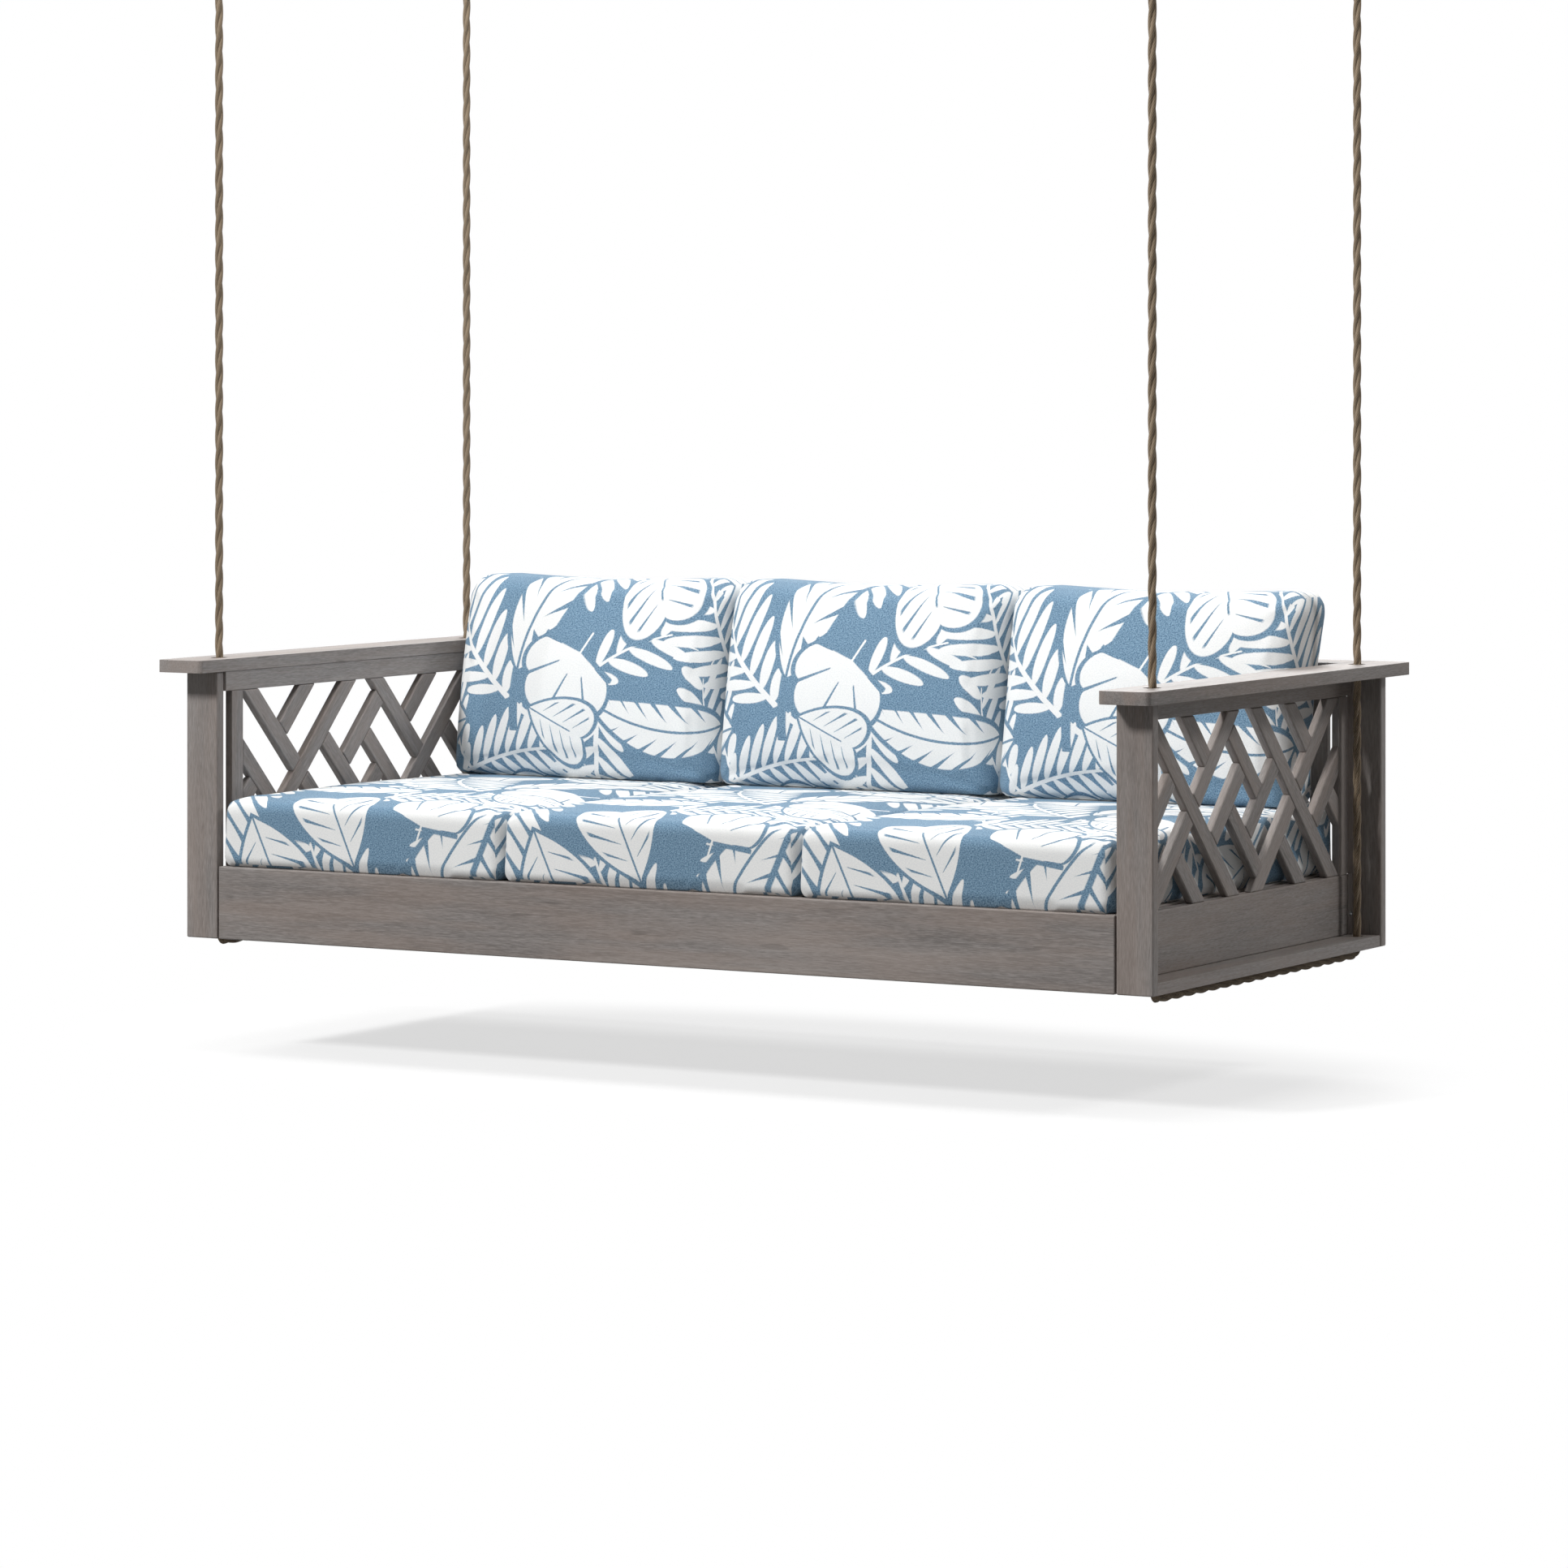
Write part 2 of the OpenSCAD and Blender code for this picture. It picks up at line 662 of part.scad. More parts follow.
module across_x(r, w) {
    rotate([0, 90, 0]) translate([0, 0, -w / 2]) cylinder(r = r, h = w);
}

module across_y(r, w) {
    rotate([90, 0, 0]) translate([0, 0, -w / 2]) cylinder(r = r, h = w);
}

ear_in = link_w / 2 + side_play;
ear_out = ear_in + ear_t;

module hanger() {
    cylinder(d = stud_d, h = stud_l);
    translate([0, 0, -flange_t]) cylinder(d = flange_d, h = flange_t);
    for (s = [-1, 1]) difference() {
        union() {
            translate([s * (ear_in + ear_out) / 2, 0, pin_z]) across_x(ear_r, ear_t);
            board([min(s * ear_in, s * ear_out), -ear_r, pin_z],
                [max(s * ear_in, s * ear_out), ear_r, -flange_t]);
        }
        translate([0, 0, pin_z]) across_x(pin_r, 2 * ear_out + 2 * over);
    }
}

module hangers() {
    color(zinc) for (sx = [-1, 1], sy = [-1, 1]) at_corner(sx, sy) hanger();
}

module hanger_pins() {
    color(zinc) for (sx = [-1, 1], sy = [-1, 1]) at_corner(sx, sy) translate([0, 0, pin_z]) {
        across_x(pin_r, 2 * ear_out);
        for (s = [-1, 1]) translate([s * (ear_out + head_t / 2), 0, 0]) across_x(head_d / 2, head_t);
    }
}

link_low_w = 2 * bow_half - bow_ear_w - 2 * side_play;

module swing_link(sx, sy) {
    color(zinc) at_corner(sx, sy) difference() {
        union() {
            translate([0, 0, pin_z]) across_x(link_r, link_w);
            translate([0, 0, sway_z]) across_y(link_low_r, link_low_w);
            board([-link_w / 2, -link_low_w / 2, sway_z], [link_w / 2, link_low_w / 2, pin_z]);
        }
        translate([0, 0, pin_z]) across_x(pin_r + pin_clear, link_w + 2 * over);
        translate([0, 0, sway_z]) across_y(pin_r + pin_clear, link_low_w + 2 * over);
    }
}

module shackle(sx, sy) {
    pin_l = 2 * bow_half + bow_ear_w;
    color(zinc) at_corner(sx, sy) {
        for (s = [-1, 1]) {
            translate([0, s * bow_half, sway_z]) across_y(bow_ear_r, bow_ear_w);
            translate([0, s * bow_half, bow_z + bow_r]) cylinder(r = bow_rod, h = sway_z - bow_z - bow_r);
            translate([0, s * (bow_half - bow_r), bow_z + bow_r])
                rotate([0, 0, s * 90]) rotate([90, 0, 0]) rotate([0, 0, -90])
                    rotate_extrude(angle = 90) translate([bow_r, 0]) circle(r = bow_rod);
            translate([0, s * (pin_l + head_t) / 2, sway_z]) across_y(head_d / 2, head_t);
        }
        translate([0, 0, bow_z]) across_y(bow_rod, 2 * (bow_half - bow_r));
        translate([0, 0, sway_z]) across_y(pin_r, pin_l);
    }
}

module thimble(sx, sy) {
    color(zinc) at_corner(sx, sy) translate([0, 0, ring_z]) rotate([90, 0, 0]) rotate_extrude()
        difference() {
            translate([thimble_r, -thimble_w / 2]) square([thimble_t + rope_r * 0.7, thimble_w]);
            translate([eye_r, 0]) circle(r = rope_r);
        }
}

// the rope's eye round the thimble and the tapered splice under it
module rope_eye(sx, sy) {
    color(hemp) at_corner(sx, sy) {
        translate([0, 0, ring_z]) rotate([90, 0, 0])
            rotate_extrude() translate([eye_r, 0]) circle(r = rope_r);
        translate([0, 0, fall_top]) cylinder(r1 = rope_r, r2 = splice_d / 2, h = splice_l);
    }
}

module rope_fall(sx, sy) {
    color(hemp) at_corner(sx, sy) translate([0, 0, fall_foot])
        cylinder(r = rope_r, h = fall_top - fall_foot);
}

rail(-1);  // front_rail
rail(1);  // rear_rail
inner_board(-1);  // inner_front_board
inner_board(1);  // inner_rear_board
side_apron(-1);  // side_apron_l
side_apron(1);  // side_apron_r
ledge_board(-1);  // ledge_board_l
ledge_board(1);  // ledge_board_r
corner_cleats();
post(-1, -1);  // post_fl
post(1, -1);  // post_fr
post(-1, 1);  // post_rl
post(1, 1);  // post_rr
armrest(-1);  // armrest_l
armrest(1);  // armrest_r
back_cap();
arm_panel_frame(-1);  // arm_panel_frame_l
arm_panel_frame(1);  // arm_panel_frame_r
arm_falling(-1);  // arm_slats_falling_l
arm_falling(1);  // arm_slats_falling_r
arm_rising(-1);  // arm_slats_rising_l
arm_rising(1);  // arm_slats_rising_r
back_panel_frame();
back_falling();  // back_slats_falling
back_rising();  // back_slats_rising
seat_slats();
seat_ledgers();
centre_beam();
frame_screws();
seat_cushion(-1);  // seat_cushion_l
seat_cushion(0);  // seat_cushion_m
seat_cushion(1);  // seat_cushion_r
back_cushion(-1);  // back_cushion_l
back_cushion(0);  // back_cushion_m
back_cushion(1);  // back_cushion_r
sling_rope(-1);  // sling_rope_l
sling_rope(1);  // sling_rope_r
rope_knuckle();
hangers();
hanger_pins();
swing_link(-1, -1);  // swing_link_fl
swing_link(1, -1);  // swing_link_fr
swing_link(-1, 1);  // swing_link_rl
swing_link(1, 1);  // swing_link_rr
shackle(-1, -1);  // shackle_fl
shackle(1, -1);  // shackle_fr
shackle(-1, 1);  // shackle_rl
shackle(1, 1);  // shackle_rr
thimble(-1, -1);  // thimble_fl
thimble(1, -1);  // thimble_fr
thimble(-1, 1);  // thimble_rl
thimble(1, 1);  // thimble_rr
rope_eye(-1, -1);  // rope_eye_fl
rope_eye(1, -1);  // rope_eye_fr
rope_eye(-1, 1);  // rope_eye_rl
rope_eye(1, 1);  // rope_eye_rr
rope_fall(-1, -1);  // rope_fall_fl
rope_fall(1, -1);  // rope_fall_fr
rope_fall(-1, 1);  // rope_fall_rl
rope_fall(1, 1);  // rope_fall_rr
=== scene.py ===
"""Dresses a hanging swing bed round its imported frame.

Lengths are metres in the frame's own axes: the origin lies on the ceiling,
midway between the four hangers, +Z is up and the seat opens towards -Y.
Heights of the bed itself are counted from the feet of its posts, which hang
DROP under the ceiling.
"""

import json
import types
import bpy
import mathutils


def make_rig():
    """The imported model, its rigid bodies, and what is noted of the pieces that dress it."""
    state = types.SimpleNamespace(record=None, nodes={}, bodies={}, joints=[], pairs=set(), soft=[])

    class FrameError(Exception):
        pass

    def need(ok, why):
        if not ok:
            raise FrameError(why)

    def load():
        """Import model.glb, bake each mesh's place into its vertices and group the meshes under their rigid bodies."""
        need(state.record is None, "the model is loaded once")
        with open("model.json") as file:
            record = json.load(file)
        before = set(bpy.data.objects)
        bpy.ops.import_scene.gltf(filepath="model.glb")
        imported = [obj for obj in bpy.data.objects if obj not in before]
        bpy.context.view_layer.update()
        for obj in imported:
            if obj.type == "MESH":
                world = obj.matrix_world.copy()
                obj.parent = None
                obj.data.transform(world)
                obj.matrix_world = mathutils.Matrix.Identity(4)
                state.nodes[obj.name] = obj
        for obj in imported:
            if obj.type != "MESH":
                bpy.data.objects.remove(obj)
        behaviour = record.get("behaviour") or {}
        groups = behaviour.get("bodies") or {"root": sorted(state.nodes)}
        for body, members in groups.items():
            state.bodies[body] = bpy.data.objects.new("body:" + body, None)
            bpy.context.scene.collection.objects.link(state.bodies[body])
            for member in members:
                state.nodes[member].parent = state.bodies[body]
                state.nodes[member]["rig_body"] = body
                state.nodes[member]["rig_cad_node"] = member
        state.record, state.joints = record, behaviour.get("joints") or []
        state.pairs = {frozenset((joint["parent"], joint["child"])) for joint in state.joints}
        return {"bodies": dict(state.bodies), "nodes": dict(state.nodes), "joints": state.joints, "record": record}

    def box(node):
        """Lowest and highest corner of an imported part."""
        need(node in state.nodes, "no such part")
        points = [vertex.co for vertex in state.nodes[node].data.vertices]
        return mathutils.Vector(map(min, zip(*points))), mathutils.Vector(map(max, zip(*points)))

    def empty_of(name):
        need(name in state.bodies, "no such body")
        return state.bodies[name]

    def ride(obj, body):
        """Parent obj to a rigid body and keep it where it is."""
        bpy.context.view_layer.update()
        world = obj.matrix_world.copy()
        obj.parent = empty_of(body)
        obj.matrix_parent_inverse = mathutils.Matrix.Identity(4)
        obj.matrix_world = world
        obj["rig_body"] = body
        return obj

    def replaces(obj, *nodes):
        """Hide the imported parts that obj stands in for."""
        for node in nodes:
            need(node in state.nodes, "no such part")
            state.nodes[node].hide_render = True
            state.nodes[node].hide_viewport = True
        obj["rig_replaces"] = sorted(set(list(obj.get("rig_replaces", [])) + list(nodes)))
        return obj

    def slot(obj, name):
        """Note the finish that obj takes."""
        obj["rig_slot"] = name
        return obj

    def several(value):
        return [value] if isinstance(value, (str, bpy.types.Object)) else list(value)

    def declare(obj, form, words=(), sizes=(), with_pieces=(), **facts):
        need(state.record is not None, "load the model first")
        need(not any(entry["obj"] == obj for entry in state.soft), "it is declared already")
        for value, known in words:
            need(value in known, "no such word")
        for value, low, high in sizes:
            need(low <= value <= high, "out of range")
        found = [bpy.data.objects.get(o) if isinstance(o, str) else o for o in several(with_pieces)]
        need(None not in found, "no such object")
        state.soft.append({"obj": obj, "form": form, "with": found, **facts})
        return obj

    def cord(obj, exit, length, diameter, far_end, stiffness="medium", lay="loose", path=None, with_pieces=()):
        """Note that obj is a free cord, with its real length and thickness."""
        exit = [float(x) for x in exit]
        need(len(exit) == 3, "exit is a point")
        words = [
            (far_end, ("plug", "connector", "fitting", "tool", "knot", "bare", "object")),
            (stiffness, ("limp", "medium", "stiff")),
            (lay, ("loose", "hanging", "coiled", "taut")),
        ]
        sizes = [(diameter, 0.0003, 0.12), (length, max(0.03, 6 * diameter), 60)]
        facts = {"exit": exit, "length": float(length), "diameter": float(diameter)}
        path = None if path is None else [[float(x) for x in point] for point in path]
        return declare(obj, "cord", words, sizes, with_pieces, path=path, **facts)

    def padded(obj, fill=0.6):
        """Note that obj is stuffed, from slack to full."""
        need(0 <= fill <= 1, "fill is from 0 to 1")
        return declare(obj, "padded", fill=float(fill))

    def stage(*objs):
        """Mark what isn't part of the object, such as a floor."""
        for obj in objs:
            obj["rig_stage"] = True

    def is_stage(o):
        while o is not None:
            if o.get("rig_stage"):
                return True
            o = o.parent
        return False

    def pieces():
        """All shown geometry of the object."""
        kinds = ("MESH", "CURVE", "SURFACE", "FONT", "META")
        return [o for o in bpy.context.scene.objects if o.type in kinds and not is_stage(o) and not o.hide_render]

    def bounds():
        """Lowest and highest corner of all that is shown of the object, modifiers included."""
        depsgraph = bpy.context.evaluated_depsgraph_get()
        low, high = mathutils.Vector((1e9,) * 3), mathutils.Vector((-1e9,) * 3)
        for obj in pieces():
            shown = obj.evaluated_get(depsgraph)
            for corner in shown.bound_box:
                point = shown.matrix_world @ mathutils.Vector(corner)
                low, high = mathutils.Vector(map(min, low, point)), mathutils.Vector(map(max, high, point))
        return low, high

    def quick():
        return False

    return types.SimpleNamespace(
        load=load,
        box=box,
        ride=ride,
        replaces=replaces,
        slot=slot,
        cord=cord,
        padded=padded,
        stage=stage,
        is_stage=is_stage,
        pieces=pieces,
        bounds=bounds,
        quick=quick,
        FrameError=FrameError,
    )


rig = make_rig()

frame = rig.load()
CAD_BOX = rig.bounds()

import json
import logging
import math
from collections.abc import Callable, Iterable, Sequence
from dataclasses import dataclass, field
from enum import Enum

import bmesh
import bpy
import numpy as np
from mathutils import Matrix, Vector
from mathutils.bvhtree import BVHTree

log = logging.getLogger("swing_bed")
Point = tuple[float, float, float]
Pair = tuple[float, float]
DROP = 2.160
TURN = 6.28


class Corner(Enum):
    """The four corners of the bed, with the signs of their X and Y."""

    FL = (-1, -1)
    FR = (1, -1)
    RL = (-1, 1)
    RR = (1, 1)

    @property
    def tag(self) -> str:
        """The corner's ending in the names of nodes and bodies."""
        return self.name.lower()

    def out(self, x: float, y: float) -> Pair:
        """The place that lies x and y out from the middle, at this corner."""
        return self.value[0] * x, self.value[1] * y


class Run(Enum):
    """Which way the grain of a board runs, as a unit direction."""

    ALONG_X = (1.0, 0.0, 0.0)
    ALONG_Y = (0.0, 1.0, 0.0)
    UPRIGHT = (0.0, 0.0, 1.0)
    ARM_FALLING = (0.0, 0.7071, -0.7071)
    ARM_RISING = (0.0, 0.7071, 0.7071)
    BACK_FALLING = (0.7071, 0.0, -0.7071)
    BACK_RISING = (0.7071, 0.0, 0.7071)

    @property
    def axes(self) -> Matrix:
        """A matrix that turns a point into (along, across, across)."""
        along = Vector(self.value).normalized()
        side = Vector((0, 1, 0)) if abs(along.y) < 0.1 else Vector((1, 0, 0))
        other = along.cross(side).normalized()
        return Matrix((along, other.cross(along), other))


class Slot(Enum):
    """The record's material slots."""

    PLANK = "plank"
    CLOTH = "cloth"
    ROPE = "rope"
    ZINC = "zinc"


def shade(colour: Point) -> tuple[float, float, float, float]:
    """A colour as it looks on a screen, made linear for a node.

    Args:
        colour: red, green and blue from 0 to 255.

    Returns:
        The linear colour with alpha 1.
    """
    parts = [c / 255 for c in colour]
    linear = [c / 12.92 if c <= 0.04045 else ((c + 0.055) / 1.055) ** 2.4 for c in parts]
    return (*linear, 1.0)


def grey(level: float) -> tuple[float, float, float, float]:
    """A linear grey with alpha 1."""
    return (level, level, level, 1.0)


@dataclass(frozen=True)
class Signal:
    """A value on its way through a node tree, with plain arithmetic."""

    graph: "Graph"
    socket: bpy.types.NodeSocket

    def to(self, operation: str, *more: "Feed") -> "Signal":
        """The result of a Math node whose first value this is."""
        return self.graph.math(operation, self, *more)

    def __add__(self, other: "Feed") -> "Signal":
        """The sum."""
        return self.to("ADD", other)

    def __sub__(self, other: "Feed") -> "Signal":
        """The difference."""
        return self.to("SUBTRACT", other)

    def __rsub__(self, other: "Feed") -> "Signal":
        """The difference from a plain number."""
        return self.graph.math("SUBTRACT", other, self)

    def __mul__(self, other: "Feed") -> "Signal":
        """The product."""
        return self.to("MULTIPLY", other)

    def __truediv__(self, other: "Feed") -> "Signal":
        """The quotient."""
        return self.to("DIVIDE", other)

    def __abs__(self) -> "Signal":
        """The value without its sign."""
        return self.to("ABSOLUTE")

    def far(self, other: "Signal") -> "Signal":
        """The distance that lies this far one way and other across it."""
        return (self * self + other * other).to("SQRT")

    def between(self, low: float, high: float, smooth: bool = False) -> "Signal":
        """Mapped to 0 at low and 1 at high, and kept in that range."""
        kind = "SMOOTHSTEP" if smooth else "LINEAR"
        inputs = {0: self, 1: low, 2: high}
        return self.graph.take("ShaderNodeMapRange", inputs, interpolation_type=kind)


Feed = Signal | float | int | str | Sequence[float]


@dataclass(frozen=True)
class Graph:
    """Short ways to add nodes to one tree."""

    tree: bpy.types.NodeTree

    def feed(self, socket: bpy.types.NodeSocket, value: Feed) -> None:
        """Links a socket to value, or sets it where value is plain.

        Args:
            socket: the node's socket.
            value: a signal or a plain value.
        """
        if isinstance(value, Signal):
            self.tree.links.new(value.socket, socket)
        else:
            socket.default_value = value

    def node(
        self, kind: str, inputs: dict | None = None, **settings: object
    ) -> bpy.types.Node:
        """Adds a node.

        Args:
            kind: Blender's name of the node's type.
            inputs: values or signals by input name or number.
            settings: properties of the node.

        Returns:
            The new node.
        """
        made = self.tree.nodes.new(kind)
        for key, value in settings.items():
            setattr(made, key, value)
        self.dress(made, inputs or {})
        return made

    def dress(self, node: bpy.types.Node, inputs: dict) -> None:
        """Feeds inputs of a node by name or number."""
        for key, value in inputs.items():
            self.feed(node.inputs[key], value)

    def read(self, node: bpy.types.Node, output: int | str = 0) -> Signal:
        """One output of a node."""
        return Signal(self, node.outputs[output])

    def take(
        self, kind: str, inputs: dict | None = None, output: int | str = 0, **settings: object
    ) -> Signal:
        """One output of a new node, which is made as node makes it."""
        return self.read(self.node(kind, inputs, **settings), output)

    def math(self, operation: str, *values: Feed) -> Signal:
        """The result of a Math node."""
        return self.take("ShaderNodeMath", dict(enumerate(values)), operation=operation)

    def vector(self, operation: str, *values: Feed) -> Signal:
        """The vector result of a Vector Math node."""
        return self.take("ShaderNodeVectorMath", dict(enumerate(values)), operation=operation)

    def scaled(self, vector: Feed, factor: Feed) -> Signal:
        """A vector times a number."""
        return self.take("ShaderNodeVectorMath", {0: vector, 3: factor}, operation="SCALE")

    def noise(
        self, at: Feed, scale: float | Point, detail: float = 3, rough: float = 0.55
    ) -> Signal:
        """The value of a Noise Texture.

        Args:
            at: the point on the surface.
            scale: how many waves a metre has, or how many along each axis.
            detail: how many finer layers it has.
            rough: how strong each finer layer is.

        Returns:
            The value.
        """
        if isinstance(scale, tuple):
            at, scale = self.vector("MULTIPLY", at, scale), 1.0
        inputs = {"Vector": at, "Scale": scale, "Detail": detail, "Roughness": rough}
        return self.take("ShaderNodeTexNoise", inputs)

    def blend(self, factor: Feed, first: Feed, second: Feed) -> Signal:
        """Two colours mixed by a factor, where a plain colour runs from 0 to 255.

        Args:
            factor: the second colour's share.
            first: the first colour.
            second: the second colour.

        Returns:
            The mixed colour.
        """
        ends = [shade(c) if isinstance(c, tuple) else c for c in (first, second)]
        inputs = {0: factor, 6: ends[0], 7: ends[1]}
        return self.take("ShaderNodeMix", inputs, 2, data_type="RGBA")

    def bumped(
        self, shader: bpy.types.Node, height: Signal, strength: float, depth: float
    ) -> None:
        """Bumps a shader's normal by a height."""
        inputs = {"Strength": strength, "Distance": depth, "Height": height}
        self.feed(shader.inputs["Normal"], self.take("ShaderNodeBump", inputs))

    def attribute(self, name: str, output: str = "Fac") -> Signal:
        """Reads an attribute of the mesh."""
        return self.take("ShaderNodeAttribute", None, output, attribute_name=name)

    def where(self) -> Signal:
        """The point in the piece's own coordinates."""
        return self.take("ShaderNodeTexCoord", None, "Object")

    def parts(self, vector: Feed) -> list[Signal]:
        """The X, Y and Z of a vector."""
        node = self.node("ShaderNodeSeparateXYZ", {0: vector})
        return [self.read(node, number) for number in range(3)]

    def vector_of(self, **parts: Feed) -> Signal:
        """A vector of the parts that are given as X, Y and Z."""
        return self.take("ShaderNodeCombineXYZ", parts)

    def seen(self) -> Signal:
        """1 for the rays that show a surface: straight, in gloss and through glass.

        Returns:
            1 for those rays and 0 for all others.
        """
        rays = self.node("ShaderNodeLightPath")
        straight, gloss, glass = (
            self.read(rays, f"Is {kind} Ray") for kind in ("Camera", "Glossy", "Transmission")
        )
        return straight.to("MAXIMUM", gloss.to("MAXIMUM", glass))

    def stored(
        self,
        geometry: Feed,
        name: str,
        value: Signal,
        kind: str = "FLOAT",
        domain: str = "POINT",
    ) -> Signal:
        """A geometry that carries a named attribute.

        Args:
            geometry: the geometry.
            name: the attribute's name.
            value: its value.
            kind: FLOAT or FLOAT_VECTOR.
            domain: POINT or INSTANCE.

        Returns:
            The geometry with its attribute.
        """
        inputs = {0: geometry, "Name": name, "Value": value}
        return self.take(
            "GeometryNodeStoreNamedAttribute", inputs, domain=domain, data_type=kind
        )


def cleared(owner: bpy.types.Material | bpy.types.World) -> Graph:
    """The emptied node tree of a material or of the world.

    Args:
        owner: the material or the world.

    Returns:
        The tree's graph.
    """
    owner.use_nodes = True
    owner.node_tree.nodes.clear()
    return Graph(owner.node_tree)


def linked(name: str, data: bpy.types.ID) -> bpy.types.Object:
    """A new object of the scene, so that its modifiers are evaluated.

    Args:
        name: the object's name.
        data: its mesh, lamp or camera.

    Returns:
        The object.
    """
    made = bpy.data.objects.new(name, data)
    bpy.context.scene.collection.objects.link(made)
    return made


def meshed(build: bmesh.types.BMesh, name: str) -> bpy.types.Mesh:
    """The mesh of what was built, which is freed.

    Args:
        build: what was built.
        name: the mesh's name.

    Returns:
        The mesh.
    """
    mesh = bpy.data.meshes.new(name)
    build.to_mesh(mesh)
    build.free()
    return mesh


class Finish:
    """A procedural finish: subclasses draw its nodes once, on first use."""

    title = "finish"

    def draw(self, graph: Graph, shader: bpy.types.Node) -> None:
        """Draws the nodes that feed the shader."""
        raise NotImplementedError

    def surface(self, graph: Graph) -> Signal:
        """The whole surface, which is one shader unless a finish says otherwise.

        Args:
            graph: the material's graph.

        Returns:
            The surface's shader.
        """
        shader = graph.node("ShaderNodeBsdfPrincipled")
        self.draw(graph, shader)
        return graph.read(shader)

    def material(self) -> bpy.types.Material:
        """The finish as a material, made on first use.

        Returns:
            The material.
        """
        made = bpy.data.materials.get(self.title)
        if made is None:
            made = bpy.data.materials.new(self.title)
            graph = cleared(made)
            graph.node("ShaderNodeOutputMaterial", {"Surface": self.surface(graph)})
        return made


@dataclass(frozen=True)
class PlankFinish(Finish):
    """Brushed planks under a grey-brown stain, rubbed paler at their edges.

    The sizes of the noises are waves a metre, along the grain and across it.
    """

    title: str = "stained_plank"
    pale: Point = (156, 150, 147)
    deep: Point = (105, 100, 97)
    mark: Point = (66, 60, 57)
    warm: Point = (150, 131, 119)
    worn: Point = (168, 160, 155)
    streaks: Point = (14, 330, 330)
    fibres: Point = (60, 760, 760)
    bands: Point = (1.4, 15, 15)
    blots: Point = (9, 60, 60)
    tints: Point = (3, 28, 28)

    def draw(self, graph: Graph, shader: bpy.types.Node) -> None:
        """Draws streaks along the grain, warm patches, dark marks and rubbed edges.

        Args:
            graph: the material's graph.
            shader: the shader that the nodes feed.
        """
        grain = graph.attribute("grain", "Vector")
        streak = graph.noise(grain, self.streaks, 3, 0.6)
        fine = graph.noise(grain, self.fibres, 2, 0.5)
        band = graph.noise(grain, self.bands, 3, 0.5)
        blot = graph.noise(grain, self.blots, 2, 0.4)
        tint = graph.noise(grain, self.tints, 3, 0.5)
        value = streak * 0.42 + fine * 0.72 + band * 0.34 + graph.attribute("tone") * 0.20
        base = graph.blend(value.between(0.51, 0.97), self.deep, self.pale)
        base = graph.blend(tint.between(0.38, 0.62) * 0.30, base, self.warm)
        base = graph.blend(blot.between(0.71, 0.79, True) * 0.42, base, self.mark)
        rub = graph.attribute("rub") * band.between(0.35, 0.75)
        base = graph.blend(rub * 0.28, base, self.worn)
        rough = streak * -0.18 + 0.66
        graph.dress(shader, {"Base Color": base, "Roughness": rough, "Specular IOR Level": 0.35})
        graph.bumped(shader, streak * 0.7 + fine * 0.3, strength=0.55, depth=0.0006)


@dataclass(frozen=True)
class RopeFinish(Finish):
    """Tan laid rope: yarns along each strand, with loose fibres."""

    title: str = "tan_rope"
    pale: Point = (172, 153, 129)
    deep: Point = (104, 88, 68)
    fibres: Point = (900, 900, 160)
    yarns: int = 8
    yarn_lay: float = 0.055

    def draw(self, graph: Graph, shader: bpy.types.Node) -> None:
        """Draws the yarns from each strand's own length and angle.

        Args:
            graph: the material's graph.
            shader: the shader that the nodes feed.
        """
        x, y, _ = graph.parts(graph.attribute("around", "Vector"))
        turn = graph.attribute("along") * (-2 * math.pi / self.yarn_lay) + y.to("ARCTAN2", x)
        wave = (turn * float(self.yarns)).to("SINE")
        where = graph.where()
        fibre = graph.noise(where, self.fibres, 4, 0.65)
        value = wave * 0.16 + fibre * 0.75 + graph.noise(where, 14) * 0.45
        base = graph.blend(value.between(0.30, 0.90), self.deep, self.pale)
        graph.dress(shader, {
            "Base Color": base, "Roughness": 0.9, "Specular IOR Level": 0.2, "Sheen Weight": 0.25,
        })
        graph.bumped(shader, wave * 0.5 + fibre, strength=0.8, depth=0.0007)


@dataclass(frozen=True)
class ZincFinish(Finish):
    """Zinc-plated steel, a little cloudy and finely brushed."""

    title: str = "zinc_plate"
    pale: Point = (205, 207, 208)
    deep: Point = (160, 163, 166)
    scratches: Point = (300, 300, 2600)
    spangles: float = 260

    def draw(self, graph: Graph, shader: bpy.types.Node) -> None:
        """Draws the plating's clouds, its spangle and fine scratches.

        Args:
            graph: the material's graph.
            shader: the shader that the nodes feed.
        """
        where = graph.where()
        cloud = graph.noise(where, 60, 4)
        cells = {"Vector": where, "Scale": self.spangles}
        spangle = graph.take("ShaderNodeTexVoronoi", cells, "Color")
        value = cloud * 0.8 + graph.parts(spangle)[0] * 0.3
        base = graph.blend(value.between(0.3, 0.85), self.deep, self.pale)
        rough = cloud * 0.25 + 0.22
        graph.dress(shader, {"Base Color": base, "Metallic": 1.0, "Roughness": rough})
        graph.bumped(shader, graph.noise(where, self.scratches, 2), strength=0.3, depth=0.0002)


PLANK = PlankFinish()
ROPE = RopeFinish()
ZINC = ZincFinish()


